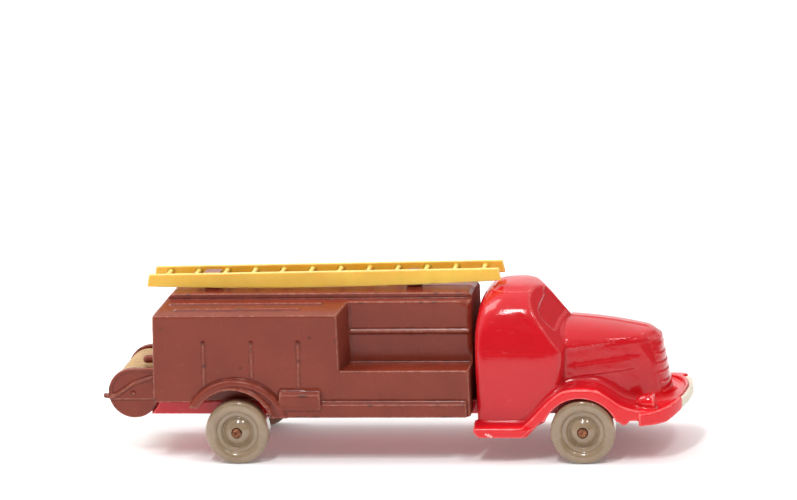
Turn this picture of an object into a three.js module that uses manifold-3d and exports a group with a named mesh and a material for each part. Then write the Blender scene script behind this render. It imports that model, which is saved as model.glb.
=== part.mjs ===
// Toy fire engine, a small moulded model of about 1:90 scale.
//
// Frame: +X is the front of the vehicle, +Y its left side, +Z up. The origin lies on the ground,
// in the middle of the vehicle's plan outline. All lengths are in millimetres.
//
// The red cab moulding (cab, bonnet, wings, running boards and bumper) and the brown body moulding
// are hollow shells, open below. Both stand on a red chassis tray and are held by rivets from
// underneath. Steel axles turn in the tray's bearing blocks, a yellow ladder hangs over two pegs on
// the roof deck, and a hose reel turns between two side plates behind the body.

import * as THREE from 'three';
import { mergeVertices } from 'three/addons/utils/BufferGeometryUtils.js';
import { ConvexGeometry } from 'three/addons/geometries/ConvexGeometry.js';
import Module from 'manifold-3d';

const wasm = await Module();
wasm.setup();

// ---- Driving dimensions -------------------------------------------------------------------------

const fitGap = 0.3; // between pieces that touch or hold each other
const wall = 1.0; // of both shells
const reach = 60; // longer than the vehicle's half length, for cutters that pass right through
const shortestEdge = 0.004; // finer slivers than this are closed up

const wheelRadius = 5.25;
const wheelWidth = 3.0;
const wheelOuterY = 12.75;
const rearAxleX = -25.35;
const frontAxleX = 31.05;
const axleRadius = 0.75;
const axleRunningRadius = 0.86; // of the bearing blocks' round seats

const trayBottomZ = 7.15;
const trayFloor = 1.05;
const trayRimZ = 9.5;
const trayHalfWidth = 8.0;
const trayRearX = -38.8; // of the open part
const tongueRearX = -40.6; // reaches under the hose reel
const trayFrontX = 34.6;
const trayRim = 1.0;
const blockHalfLength = 2.6;
const blockBottomZ = 4.35;
const blockHalfWidth = 8.0;
const keeperPlate = 0.6;

const bodyRearX = -39.1;
const bodyFrontX = 12.95;
const bodyHalfWidth = 12.0;
const bodySkirtZ = 10.26; // lower edge behind the rear wheel
const eavesZ = 24.7;
const deckFootZ = 25.85;
const deckZ = 26.8;
const deckHalfWidth = 5.3;
const bayRearX = -8.2;
const bayFloorZ = 15.45;
const bayBackY = 6.6;
const sillHalfWidth = 12.7;
const sillBottomZ = 7.77;
const sillTopZ = 9.9;
const sillFrontX = 12.45;
const rearArch = { x: -26.0, z: 5.8, radius: 6.55 };
const wellInnerY = 8.35; // of the rear wheel wells, beside the tray
const wellWall = 0.8;
const rearWing = { x: rearAxleX, z: 5.25, radius: 8.9, halfWidth: 12.85, tipZ: 9.5 };

const cabRearX = 13.65;
const cabHalfWidth = 11.6;
const cabBottomZ = 6.6;
const frontArch = { x: 30.75, z: 4.7, radius: 6.2 };
const wingHalfWidth = 12.8;
const wingInnerY = 9.3; // the wheel well's inner wall stands inside this
const boardHalfWidth = 13.0;
const boardTopZ = 5.95;
const boardBottomZ = 4.4;
const bumperFrontX = 48.1;
const bumperHalfWidth = 12.9;
const bumperRearX = 40.1;
const bumperThickness = 1.3;
const plateHalfLength = 7.0;
const plateThickness = 0.55;

const reelX = -43.15;
const reelZ = 10.8;
const reelRadius = 4.2;
const reelOuterY = 8.25;
const reelSide = 0.9; // thickness of a side plate
const hoseRadius = 3.9;
const hoseTurns = 7;
const drumRadius = 1.6;
const drumFlange = 0.4;
const spindleRadius = 0.6;

const ladderCentreX = -11.85;
const ladderTopZ = 29.95;
const ladderTilt = THREE.MathUtils.degToRad(0.65);
const ladderHalfLength = 28.75;
const ladderHalfWidth = 3.3;
const railThickness = 0.75;
const railDepthEnd = 2.1;
const railDepthMiddle = 2.7;
const rungCount = 12;
const rungPitch = 4.77;
const rungRadius = 0.4;
const rungDrop = 0.65; // of the rungs' middle under the rails' top edge

const pegTopZ = 29.45;
const rearPegX = -30.5;
const frontPegX = 2.95;

const rivets = [
  { name: 'body_rivet_rear', x: -34.0 },
  { name: 'body_rivet_front', x: 7.0 },
  { name: 'cab_rivet_rear', x: 18.0 },
  { name: 'cab_rivet_front', x: 26.0 },
];
const rivetShank = 0.6;
const rivetHead = 1.3;
const rivetGrip = 3.0; // how far a rivet's shank reaches into its boss
const bossRadius = 1.7;

const paint = {
  cabRed: { color: 0xcd232d, roughness: 0.3, metalness: 0 },
  bodyBrown: { color: 0x874b3c, roughness: 0.42, metalness: 0 },
  ladderYellow: { color: 0xe6b957, roughness: 0.5, metalness: 0 },
  wheelGrey: { color: 0x968773, roughness: 0.35, metalness: 0 },
  steel: { color: 0x96573a, roughness: 0.5, metalness: 0.8 },
  hoseCream: { color: 0xe1be82, roughness: 0.6, metalness: 0 },
  plateCream: { color: 0xebe1cd, roughness: 0.5, metalness: 0 },
};

// ---- Solids from three.js geometry --------------------------------------------------------------

function toSolid(geometry) {
  const bare = geometry.clone();
  bare.deleteAttribute('normal');
  bare.deleteAttribute('uv');
  const merged = mergeVertices(bare, 1e-4);
  const index = merged.getIndex().array;
  const triangles = [];
  for (let i = 0; i < index.length; i += 3) {
    const [a, b, c] = [index[i], index[i + 1], index[i + 2]];
    if (a !== b && b !== c && c !== a) triangles.push(a, b, c);
  }
  const vertProperties = new Float32Array(merged.getAttribute('position').array);
  return new wasm.Manifold(new wasm.Mesh({
    numProp: 3,
    vertProperties,
    triVerts: new Uint32Array(triangles),
  }));
}

function toGeometry(solid) {
  const mesh = solid.simplify(shortestEdge).getMesh();
  const geometry = new THREE.BufferGeometry();
  geometry.setAttribute('position', new THREE.BufferAttribute(new Float32Array(mesh.vertProperties), 3));
  geometry.setIndex(new THREE.BufferAttribute(new Uint32Array(mesh.triVerts), 1));
  return geometry;
}

const join = (...solids) => solids.reduce((sum, solid) => sum.add(solid));
const cut = (solid, ...cutters) => cutters.reduce((rest, cutter) => rest.subtract(cutter), solid);
const common = (...solids) => solids.reduce((shared, solid) => shared.intersect(solid));

const shapeOf = (points) => new THREE.Shape(points.map(([a, b]) => new THREE.Vector2(a, b)));

function extrude(shape, length, matrix) {
  const settings = { depth: length, bevelEnabled: false, curveSegments: 12 };
  const geometry = new THREE.ExtrudeGeometry(shape, settings);
  geometry.applyMatrix4(matrix);
  return toSolid(geometry);
}

function basis(xAxis, yAxis, zAxis, origin) {
  const matrix = new THREE.Matrix4().makeBasis(
    new THREE.Vector3(...xAxis),
    new THREE.Vector3(...yAxis),
    new THREE.Vector3(...zAxis),
  );
  return matrix.setPosition(...origin);
}

// A side outline (x, z) carried from y0 to y1.
function acrossY(points, y0, y1) {
  const matrix = basis([1, 0, 0], [0, 0, 1], [0, -1, 0], [0, y1, 0]);
  return extrude(shapeOf(points), y1 - y0, matrix);
}

// An end outline (y, z) carried from x0 to x1.
function alongX(points, x0, x1) {
  return extrude(shapeOf(points), x1 - x0, basis([0, 1, 0], [0, 0, 1], [1, 0, 0], [x0, 0, 0]));
}

// A plan outline (x, y) carried from z0 to z1.
function upZ(points, z0, z1) {
  return extrude(shapeOf(points), z1 - z0, basis([1, 0, 0], [0, 1, 0], [0, 0, 1], [0, 0, z0]));
}

function box(x0, x1, y0, y1, z0, z1) {
  const geometry = new THREE.BoxGeometry(x1 - x0, y1 - y0, z1 - z0);
  geometry.translate((x0 + x1) / 2, (y0 + y1) / 2, (z0 + z1) / 2);
  return toSolid(geometry);
}

function rodY(radius, x, z, y0, y1, sides = 32) {
  const geometry = new THREE.CylinderGeometry(radius, radius, y1 - y0, sides);
  geometry.translate(x, (y0 + y1) / 2, z);
  return toSolid(geometry);
}

function rodZ(radius, x, y, z0, z1, sides = 20) {
  const geometry = new THREE.CylinderGeometry(radius, radius, z1 - z0, sides);
  geometry.rotateX(Math.PI / 2);
  geometry.translate(x, y, (z0 + z1) / 2);
  return toSolid(geometry);
}

function rodX(radius, y, z, x0, x1, sides = 20) {
  const geometry = new THREE.CylinderGeometry(radius, radius, x1 - x0, sides);
  geometry.rotateZ(Math.PI / 2);
  geometry.translate((x0 + x1) / 2, y, z);
  return toSolid(geometry);
}

// A round piece about the Y axis through (x, z), from a closed profile of [radius, y] points.
function turned(profile, x, z, segments = 32) {
  const points = profile.map(([radius, y]) => new THREE.Vector2(radius, y));
  const geometry = new THREE.LatheGeometry(points, segments);
  geometry.translate(x, 0, z);
  const solid = toSolid(geometry);
  return solid.volume() > 0 ? solid : turned([...profile].reverse(), x, z, segments);
}

// A round piece about an axis along X through (y, z), from [radius, x] points.
function turnedX(profile, y, z) {
  const geometry = new THREE.LatheGeometry(profile.map(([radius, x]) => new THREE.Vector2(radius, x)), 20);
  geometry.rotateZ(-Math.PI / 2);
  geometry.translate(0, y, z);
  return toSolid(geometry);
}

// The same half outline on both sides of the centre line: [half width, height] points, base first.
const mirrored = (half) => [
  ...half,
  ...[...half].reverse().filter(([width]) => width > 0).map(([width, height]) => [-width, height]),
];

// A smooth curve through the given points.
function smooth(points, steps) {
  const curve = new THREE.SplineCurve(points.map(([a, b]) => new THREE.Vector2(a, b)));
  return curve.getPoints(steps).map((point) => [point.x, point.y]);
}

function arc(x, z, radius, fromDegrees, toDegrees, steps) {
  const points = [];
  for (let i = 0; i <= steps; i += 1) {
    const angle = THREE.MathUtils.degToRad(fromDegrees + ((toDegrees - fromDegrees) * i) / steps);
    points.push([x + radius * Math.cos(angle), z + radius * Math.sin(angle)]);
  }
  return points;
}

const bothSides = (make) => join(make(1), make(-1));

// Puts a span given for the right side (negative Y) on either side.
function spanY(side, inner, outer) {
  return side > 0 ? [inner, outer] : [-outer, -inner];
}

// ---- Chassis and running gear -------------------------------------------------------------------

function chassisTray() {
  const outer = cut(
    box(tongueRearX, trayFrontX, -trayHalfWidth, trayHalfWidth, trayBottomZ, trayRimZ),
    rodY(reelRadius + 0.35, reelX, reelZ, -reach, reach, 48),
  );
  const inner = trayHalfWidth - trayRim;
  const hollow = box(
    trayRearX + trayRim, trayFrontX - trayRim, -inner, inner, trayBottomZ + trayFloor, trayRimZ + 1,
  );
  const blocks = [rearAxleX, frontAxleX].map((x) => box(
    x - blockHalfLength, x + blockHalfLength, -blockHalfWidth, blockHalfWidth, blockBottomZ, trayBottomZ + 0.5,
  ));
  const seats = [rearAxleX, frontAxleX].map((x) => join(
    rodY(axleRunningRadius, x, wheelRadius, -reach, reach, 24),
    box(x - axleRunningRadius, x + axleRunningRadius, -reach, reach, blockBottomZ - 1, wheelRadius),
  ));
  const holes = rivets.map(({ x }) => rodZ(rivetShank + fitGap, x, 0, trayBottomZ - 1, trayRimZ));
  return cut(join(outer, ...blocks), hollow, ...seats, ...holes);
}

// Closes a bearing block from below; its tongue fills the slot under the axle.
function axleKeeper(x) {
  const top = blockBottomZ - fitGap;
  const tongue = axleRunningRadius - fitGap;
  const halfWidth = blockHalfWidth - 1;
  return join(
    box(x - blockHalfLength, x + blockHalfLength, -halfWidth, halfWidth, top - keeperPlate, top),
    box(x - tongue, x + tongue, -halfWidth, halfWidth, top - keeperPlate, wheelRadius - axleRadius - 0.1),
  );
}

function rivet(x) {
  const headTop = trayBottomZ - 0.1;
  return join(
    rodZ(rivetHead, x, 0, headTop - 0.5, headTop),
    rodZ(rivetShank, x, 0, headTop - 0.25, trayBottomZ + trayFloor + rivetGrip),
  );
}

// A post inside a shell, with the blind hole that its rivet grips.
function boss(x, topZ) {
  const bottomZ = trayBottomZ + trayFloor + fitGap;
  const post = rodZ(bossRadius, x, 0, bottomZ, topZ);
  const hole = rodZ(rivetShank + fitGap, x, 0, bottomZ - 1, bottomZ + rivetGrip);
  return { post, hole };
}

const axle = (x) => rodY(axleRadius, x, wheelRadius, -wheelOuterY - 0.15, wheelOuterY + 0.15, 24);

// One-piece wheel: tyre with rounded shoulders, a sunk ring and a domed hub.
function wheel(x, side) {
  const outer = wheelOuterY;
  const inner = wheelOuterY - wheelWidth;
  const bore = axleRadius + 0.15;
  const profile = [
    [bore, inner + 0.3],
    [2.2, inner + 0.3],
    [2.6, inner],
    [4.6, inner],
    [wheelRadius, inner + 0.6],
    [wheelRadius, outer - 0.75],
    [wheelRadius - 0.25, outer - 0.25],
    [wheelRadius - 0.75, outer],
    [3.35, outer - 0.1],
    [3.0, outer - 0.4],
    [2.3, outer - 0.55],
    [1.85, outer - 0.3],
    [1.4, outer - 0.05],
    [bore, outer],
    [bore, inner + 0.3],
  ].map(([radius, y]) => [radius, side * y]);
  return turned(profile, x, wheelRadius, 36);
}

// ---- Brown body shell ---------------------------------------------------------------------------

function bodyShell() {
  const section = mirrored([
    [bodyHalfWidth, sillBottomZ],
    [bodyHalfWidth, eavesZ],
    [deckHalfWidth, deckFootZ],
    [deckHalfWidth, deckZ],
  ]);
  const side = [
    [bodyRearX, bodySkirtZ],
    [rearArch.x, bodySkirtZ],
    [-20, sillBottomZ],
    [bodyFrontX, sillBottomZ],
    [bodyFrontX, deckZ - 0.9],
    [bodyFrontX - 0.35, deckZ - 0.25],
    [bodyFrontX - 1.1, deckZ],
    [bodyRearX + 2.6, deckZ],
    [bodyRearX + 1.5, deckZ - 0.7],
    [bodyRearX + 0.55, eavesZ - 0.1],
  ];
  let shell = common(alongX(section, -reach, reach), acrossY(side, -reach, reach));

  // open bays on both sides in front, with a rail across each back wall
  const bayCut = bothSides((s) => box(bayRearX, reach, ...spanY(s, bayBackY, reach), bayFloorZ, reach));
  const bayRail = bothSides((s) => box(
    bayRearX - 0.5, bodyFrontX, ...spanY(s, bayBackY - 0.4, bayBackY + 0.3), 20.45, 20.95,
  ));
  shell = join(cut(shell, bayCut), bayRail);

  // sill, rear wings and the tool chest on each sill
  const sill = bothSides((s) => alongX([
    [s * (bodyHalfWidth - wall), sillBottomZ],
    [s * sillHalfWidth, sillBottomZ],
    [s * sillHalfWidth, sillTopZ],
    [s * bodyHalfWidth, sillTopZ + 0.6],
    [s * (bodyHalfWidth - wall), sillTopZ + 0.6],
  ], -21, sillFrontX));
  const wing = bothSides((s) => common(
    rodY(rearWing.radius, rearWing.x, rearWing.z, ...spanY(s, bodyHalfWidth - wall, rearWing.halfWidth), 48),
    acrossY([[-32.9, rearWing.tipZ], [-19.9, rearWing.tipZ], [-19.9, sillBottomZ], [-16.4, sillBottomZ],
      [-16.4, 16], [-34.3, 16], [-34.3, rearWing.tipZ + 0.6]], -reach, reach),
  ));
  const chest = bothSides((s) => alongX([
    [s * (bodyHalfWidth - 0.5), sillTopZ - 0.5],
    [s * 12.95, sillTopZ - 0.2],
    [s * 12.95, 11.55],
    [s * bodyHalfWidth, 12.45],
    [s * (bodyHalfWidth - 0.5), 12.45],
  ], -18.1, -11.3));
  shell = join(shell, sill, wing, chest);

  // long ribs on the roof slopes and upright beads on the sides
  const ribs = bothSides((s) => join(...[[9.6, -35.4, -14.5], [7.4, -36.6, -11.2]].map(([y, x0, x1]) => {
    const slopeZ = eavesZ + ((bodyHalfWidth - y) * (deckFootZ - eavesZ)) / (bodyHalfWidth - deckHalfWidth);
    return box(x0, x1, ...spanY(s, y - 0.35, y + 0.35), slopeZ - 0.4, slopeZ + 0.2);
  })));
  const beads = bothSides((s) => join(...[[-30.4, 12.9], [-22.5, 14.3], [-14.8, 12.7]].map(([x, z0]) => (
    box(x - 0.15, x + 0.15, ...spanY(s, bodyHalfWidth - 0.3, bodyHalfWidth + 0.12), z0, 19.9)
  ))));
  shell = join(shell, ribs, beads);

  // hollow inside, open below
  const inner = bodyHalfWidth - wall;
  const crown = mirrored([[inner, 0], [inner, eavesZ - wall], [deckHalfWidth - wall, deckFootZ - wall + 0.1],
    [deckHalfWidth - wall, deckZ - wall]]);
  const bayInner = bayBackY - wall;
  const rearRoom = alongX(crown, bodyRearX + wall + 0.5, bayRearX - wall);
  const underBays = box(bayRearX - wall - 1, bodyFrontX - wall, -inner, inner, 0, bayFloorZ - wall);
  const betweenBays = common(
    box(bayRearX - wall - 1, bodyFrontX - wall, -bayInner, bayInner, 0, reach),
    alongX(crown, -reach, reach),
  );
  const archCut = rodY(rearArch.radius, rearArch.x, rearArch.z, -reach, reach, 40);
  shell = cut(shell, rearRoom, underBays, betweenBays, archCut);

  // rear wheel wells: an arched lining closed by an inner wall
  const aboveTray = box(-reach, 0, -reach, reach, trayRimZ + fitGap, reach);
  const wells = bothSides((s) => cut(
    rodY(rearArch.radius + wellWall, rearArch.x, rearArch.z, ...spanY(s, wellInnerY, inner + 0.5), 40),
    rodY(rearArch.radius, rearArch.x, rearArch.z, ...spanY(s, wellInnerY + wellWall, reach), 40),
  ));
  shell = join(shell, common(wells, aboveTray));

  // bosses for the rivets, slots for the reel's tabs, lugs over the hose
  const bosses = rivets.filter(({ name }) => name.startsWith('body')).map(({ x }) => boss(x, deckZ - wall / 2));
  shell = cut(join(shell, ...bosses.map(({ post }) => post)), ...bosses.map(({ hole }) => hole));
  const tabSlots = bothSides((s) => box(
    bodyRearX - 2, bodyRearX + 3,
    ...spanY(s, reelOuterY - reelSide - fitGap, reelOuterY + fitGap), 11.0 - fitGap, 13.4 + fitGap,
  ));
  const lugs = bothSides((s) => rodX(0.65, s * 4.5, 15.65, -42.1, bodyRearX + 1, 14));
  const pegHoles = [rearPegX, frontPegX].map((x) => rodZ(0.7 + fitGap, x, 0, deckZ - wall - 1, deckZ + 1));
  return cut(join(cut(shell, tabSlots), lugs), ...pegHoles);
}

// ---- Red cab shell ------------------------------------------------------------------------------

function hull(points) {
  return toSolid(new ConvexGeometry(points.map((point) => new THREE.Vector3(...point))));
}

// A quarter ring of points, for rounding the corner whose centre is (x, y).
function corner(x, y, radius, side, front, z) {
  return arc(0, 0, radius, 0, 90, 4).map(([a, b]) => [x + front * a, y + side * b, z]);
}

// Cab levels: height, rear X, front X, half width, rear corner radius, front corner radius.
const cabLevels = [
  [cabBottomZ, cabRearX, 27.6, 10.9, 1.8, 1.5],
  [9.5, cabRearX, 27.8, 11.4, 1.8, 1.5],
  [13.0, cabRearX, 28.0, cabHalfWidth, 1.8, 1.8],
  [17.5, cabRearX, 28.2, 11.4, 1.9, 2.0],
  [20.5, cabRearX, 28.3, 10.8, 2.1, 2.6],
  [22.8, cabRearX + 0.2, 28.0, 10.0, 2.6, 3.4],
  [24.8, cabRearX + 0.6, 26.4, 8.9, 3.2, 4.4],
  [26.2, cabRearX + 1.3, 24.8, 7.2, 3.6, 3.9],
  [27.15, cabRearX + 2.5, 23.2, 4.8, 2.9, 2.9],
  [27.6, cabRearX + 4.0, 21.7, 2.6, 1.6, 1.5],
  [27.7, cabRearX + 5.0, 20.7, 0.8, 0.5, 0.5],
];

function cabHull(inset) {
  const points = [];
  for (const [z, rear, front, halfWidth, rearRadius, frontRadius] of cabLevels) {
    const width = halfWidth - inset;
    if (width > 0.2) {
      const height = inset > 0 && z === cabBottomZ ? 0 : z - Math.max(0, inset) * (z > 20 ? 1 : 0);
      for (const side of [-1, 1]) {
        const rearR = Math.min(Math.max(rearRadius - inset, 0.2), width);
        const frontR = Math.min(Math.max(frontRadius - inset, 0.2), width);
        points.push(...corner(rear + inset + rearR, side * (width - rearR), rearR, side, -1, height));
        points.push(...corner(front - inset - frontR, side * (width - frontR), frontR, side, 1, height));
      }
    }
  }
  return sweptScreen(hull(points), inset);
}

// The windscreen's two flat halves, swept back from the centre line.
function sweptScreen(cab, inset) {
  return [-1, 1].reduce((rest, side) => {
    const plane = new THREE.Plane().setFromCoplanarPoints(
      new THREE.Vector3(24.75, 0, 26.55),
      new THREE.Vector3(28.3, 0, 22.15),
      new THREE.Vector3(25.9, side * 9.5, 20.9),
    );
    if (plane.normal.x > 0) plane.negate();
    return rest.trimByPlane(plane.normal.toArray(), -plane.constant + inset);
  }, cab);
}

// Bonnet stations: X, half width, height of the shoulder, height at the middle.
const bonnetStations = [
  [26.5, 8.3, 17.4, 21.6],
  [30.0, 7.8, 17.6, 21.35],
  [34.0, 7.0, 17.9, 20.9],
  [38.0, 5.9, 18.2, 20.25],
  [40.4, 5.0, 18.3, 19.8],
  [41.8, 4.2, 18.1, 19.3],
  [42.7, 3.2, 17.8, 18.6],
];
const noseTop = [43.35, 17.6];
const noseFoot = [44.95, 8.2];
const noseHalfWidth = 3.9;
const bonnetFootZ = 7.5; // hidden by the shelf between the wings

function bonnetHull(inset) {
  const points = [];
  for (const [x, halfWidth, shoulderZ, topZ] of bonnetStations) {
    const width = halfWidth - inset;
    for (let i = 0; i <= 8; i += 1) {
      const angle = (Math.PI * i) / 8;
      const y = width * Math.cos(angle);
      const rise = (topZ - shoulderZ) * Math.sin(angle) ** 0.8;
      points.push([Math.min(x, 42.7 - Math.max(0, inset)), y, shoulderZ + rise - inset]);
    }
    const lean = (x - bonnetStations[0][0]) * 0.02;
    points.push([x + lean - Math.max(0, inset) * 0.5, width, inset > 0 ? 0 : bonnetFootZ]);
    points.push([x + lean - Math.max(0, inset) * 0.5, -width, inset > 0 ? 0 : bonnetFootZ]);
  }
  // the rounded radiator nose leans forward towards its foot
  for (const [x, z] of [noseTop, noseFoot]) {
    for (const [depth, share] of [[1.9, 1], [0.9, 0.86], [0.3, 0.55], [0, 0]]) {
      for (const side of [-1, 1]) {
        points.push([x - depth - inset, side * (noseHalfWidth * share - Math.max(0, inset) * share), z]);
      }
    }
  }
  return hull(points);
}

// Height limits of the bumper band in side view: it rises towards the middle of the front.
const bumperUpper = [[bumperRearX, 8.35], [42.5, 8.65], [44.6, 9.15], [46.2, 9.75], [bumperFrontX + 0.1, 10.4]];
const bumperLower = [[bumperRearX, 6.28], [44.4, 6.6], [46.6, 7.7], [bumperFrontX + 0.1, 8.15]];

// Half of the bumper's plan, from its rear end to the middle, drawn in by `inset`.
function bumperCurve(inset) {
  return smooth([
    [bumperRearX, bumperHalfWidth - inset],
    [42.2 - inset * 0.3, bumperHalfWidth - 0.4 - inset],
    [44.6 - inset * 0.7, 10.9 - inset * 0.75],
    [46.4 - inset * 0.9, 8.0 - inset * 0.5],
    [47.6 - inset, 4.2 - inset * 0.2],
    [bumperFrontX - inset, 0],
  ], 18);
}

function bumperPlan(inset) {
  const half = bumperCurve(inset);
  const other = [...half].reverse().slice(1).map(([x, y]) => [x, -y]);
  return [...half, ...other].reverse();
}

function bumperBand() {
  const band = cut(upZ(bumperPlan(0), 0, reach), upZ(bumperPlan(bumperThickness), -1, reach));
  const side = [...bumperLower, ...[...bumperUpper].reverse()];
  return common(band, acrossY(side, -reach, reach));
}

// The pale strip that covers the middle of the bumper's front.
function plateRecess(grow) {
  const strip = cut(upZ(bumperPlan(-0.2), 0, reach), upZ(bumperPlan(plateThickness + grow), -1, reach));
  return common(strip, box(40, 50, -plateHalfLength - grow, plateHalfLength + grow, 0, reach));
}

function bumperPlate() {
  const face = cut(upZ(bumperPlan(0), 0, reach), upZ(bumperPlan(plateThickness), -1, reach));
  const lower = bumperLower.map(([x, z]) => [x, z + 0.2]);
  const upper = bumperUpper.map(([x, z]) => [x, z - 0.35]);
  return common(face, acrossY([...lower, ...upper.reverse()], -plateHalfLength, plateHalfLength));
}

function frontWings() {
  const side = [
    [20, boardBottomZ], [21.9, boardBottomZ], [24.4, 7.0], [37.2, 7.0], [37.7, 6.3], [38.4, 7.2],
    [42.0, 7.2], [46.0, 7.8], [47.4, 8.3], [47.4, 9.0], [45.0, 8.6],
    ...smooth([[43, 8.5], [39.5, 8.95], [37.2, 9.9], [35.2, 11.3], [33, 12.5], [30.5, 13.0], [28, 12.2],
      [26.3, 10.9], [25.1, 9.7], [24.0, 8.0], [22.9, boardTopZ]], 24),
    [20, boardTopZ],
  ];
  const end = mirrored([[wingHalfWidth, 4], [wingHalfWidth, 11.9], [wingHalfWidth - 0.35, 12.45],
    [wingHalfWidth - 1.2, 12.85], [0, 13.1]]);
  const plan = [...bumperPlan(0.4), [bumperRearX, wingHalfWidth], [20, wingHalfWidth], [20, -wingHalfWidth],
    [bumperRearX, -wingHalfWidth]];
  return common(acrossY(side, -reach, reach), alongX(end, 0, reach), upZ(plan, 0, reach));
}

function runningBoards() {
  const bar = bothSides((s) => alongX([
    [s * 10.3, boardBottomZ],
    [s * boardHalfWidth, boardBottomZ],
    [s * boardHalfWidth, boardTopZ],
    [s * 10.9, boardTopZ + 0.8],
    [s * 10.3, boardTopZ + 0.8],
  ], 13, 24));
  const side = [[13.4, 5.4], [14.3, boardBottomZ], [21.2, boardBottomZ], [23.2, 6.2], [23.2, 7], [13.4, 7]];
  return common(bar, acrossY(side, -reach, reach));
}

function grilleRibs() {
  const proud = bonnetHull(-0.3);
  const ribs = [17.0, 15.4, 13.8, 12.2, 10.7, 9.3].map((z) => box(42.0, 46, -3.6, 3.6, z - 0.4, z + 0.4));
  const louvres = acrossY([[29, 13.4], [39.4, 14.2], [39.4, 16.2], [29, 15.3]], -reach, reach);
  return common(proud, join(...ribs, louvres));
}

function headlamps() {
  return bothSides((s) => join(
    rodX(1.25, s * 9.6, 9.6, 40.2, 42.6, 20),
    turnedX([[0, 39.0], [0.7, 39.2], [1.15, 39.7], [1.25, 40.4], [0, 40.4]], s * 9.6, 9.6),
  ));
}

function cabShell() {
  const outside = join(
    cabHull(0), bonnetHull(0), frontWings(), runningBoards(), bumperBand(), grilleRibs(), headlamps(),
  );
  const wells = bothSides((s) => (
    rodY(frontArch.radius, frontArch.x, frontArch.z, ...spanY(s, wingInnerY, reach), 40)
  ));
  const roomPlan = upZ([[0, -12], [23.2, -12], [24.6, -8.5], [reach, -8.5], [reach, 8.5], [24.6, 8.5],
    [23.2, 12], [0, 12]], 0, reach);
  const underWings = acrossY([[24, 0], [37.2, 0], [37.2, 8.4], [35.0, 10.3], [33.0, 11.5], [24, 11.8]], -8.5, 8.5);
  const room = common(join(cabHull(wall), bonnetHull(wall), underWings), roomPlan);
  const shell = cut(outside, wells, room, trayClearance(), plateRecess(fitGap));
  const bosses = rivets.filter(({ name }) => name.startsWith('cab')).map(({ x }) => boss(x, x > 24 ? 22 : 26.3));
  return cut(join(shell, ...bosses.map(({ post }) => post)), ...bosses.map(({ hole }) => hole));
}

// The space that the chassis tray and its bearing blocks need inside both shells.
function trayClearance() {
  return box(
    trayRearX - 1, trayFrontX + fitGap, -trayHalfWidth - fitGap, trayHalfWidth + fitGap, 0, trayRimZ + fitGap,
  );
}

// ---- Hose reel ----------------------------------------------------------------------------------

function reelSidePlate(side) {
  const inner = reelOuterY - reelSide;
  const rearX = bodyRearX - 0.1 - fitGap;
  const span = spanY(side, inner, reelOuterY);
  const disc = rodY(reelRadius, reelX, reelZ, ...span, 48);
  const web = acrossY([[reelX, reelZ], [rearX + 0.05, 9.3], [rearX + 0.05, reelZ + reelRadius],
    [reelX, reelZ + reelRadius]], ...span);
  const tab = box(rearX - 1, bodyRearX + wall + 0.5, ...span, 11.0, 13.4);
  const outerSpan = spanY(side, reelOuterY - 0.2, reelOuterY + 0.35);
  const handle = acrossY([
    [-bumperFrontX, 10.1], [-47.7, 9.75], [-46.0, 9.9], [-45.2, 10.4], [-43.2, 12.2], [rearX, 13.4],
    [rearX, 14.0], [-43.5, 12.8], [-45.7, 10.95], [-46.3, 10.55], [-47.7, 10.75],
  ], ...outerSpan);
  const behind = join(
    box(rearX, 0, -reach, reach, bodySkirtZ - fitGap, 15.5),
    box(trayRearX - fitGap, 0, -reach, reach, 0, reelZ),
  );
  const plate = join(cut(join(disc, web), behind), tab, handle);
  const seat = rodY(spindleRadius + 0.08, reelX, reelZ, ...spanY(side, inner - 1, inner + 0.55), 24);
  return cut(plate, seat);
}

function reelDrum() {
  const end = reelOuterY - reelSide - fitGap;
  const bore = spindleRadius + 0.15;
  return turned([
    [bore, -end], [3.3, -end], [3.3, -end + drumFlange], [drumRadius, -end + drumFlange],
    [drumRadius, end - drumFlange], [3.3, end - drumFlange], [3.3, end], [bore, end], [bore, -end],
  ], reelX, reelZ, 24);
}

// The wound hose: rounded turns side by side around the drum.
function hoseWinding() {
  const end = reelOuterY - reelSide - fitGap - drumFlange - fitGap;
  const pitch = (2 * end) / hoseTurns;
  const bore = drumRadius + fitGap;
  const crests = [];
  for (let turn = 0; turn < hoseTurns; turn += 1) {
    const start = -end + turn * pitch;
    for (const [share, dip] of [[0.08, 0.5], [0.32, 0.06], [0.68, 0.06], [0.92, 0.5]]) {
      crests.push([hoseRadius - dip, start + share * pitch]);
    }
  }
  const profile = [[bore, -end], ...crests, [bore, end], [bore, -end]];
  return turned(profile, reelX, reelZ, 24);
}

const reelSpindle = () => rodY(spindleRadius, reelX, reelZ, -7.6, 7.6, 24);

// ---- Ladder -------------------------------------------------------------------------------------

function ladder() {
  const outline = [
    [ladderHalfLength, 0],
    [-ladderHalfLength, 0],
    ...smooth([
      [-ladderHalfLength - 0.5, -railDepthEnd],
      [0, -railDepthMiddle],
      [ladderHalfLength + 0.45, -railDepthEnd],
    ], 8),
  ];
  const rails = bothSides((s) => acrossY(outline, ...spanY(s, ladderHalfWidth - railThickness, ladderHalfWidth)));
  const firstRung = -((rungCount - 1) * rungPitch) / 2;
  const rungs = [];
  for (let i = 0; i < rungCount; i += 1) {
    const x = firstRung + i * rungPitch;
    rungs.push(rodY(rungRadius, x, -rungDrop, -ladderHalfWidth + 0.3, ladderHalfWidth - 0.3, 10));
  }
  return join(rails, ...rungs);
}

// A peg's foot goes through the roof deck; its head stands between two rungs.
function rearPeg() {
  return join(
    box(rearPegX - 1.35, rearPegX + 1.35, -1.4, 1.4, deckZ + 0.1, pegTopZ),
    rodZ(0.7, rearPegX, 0, deckZ - 1.6, deckZ + 0.5),
  );
}

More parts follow.
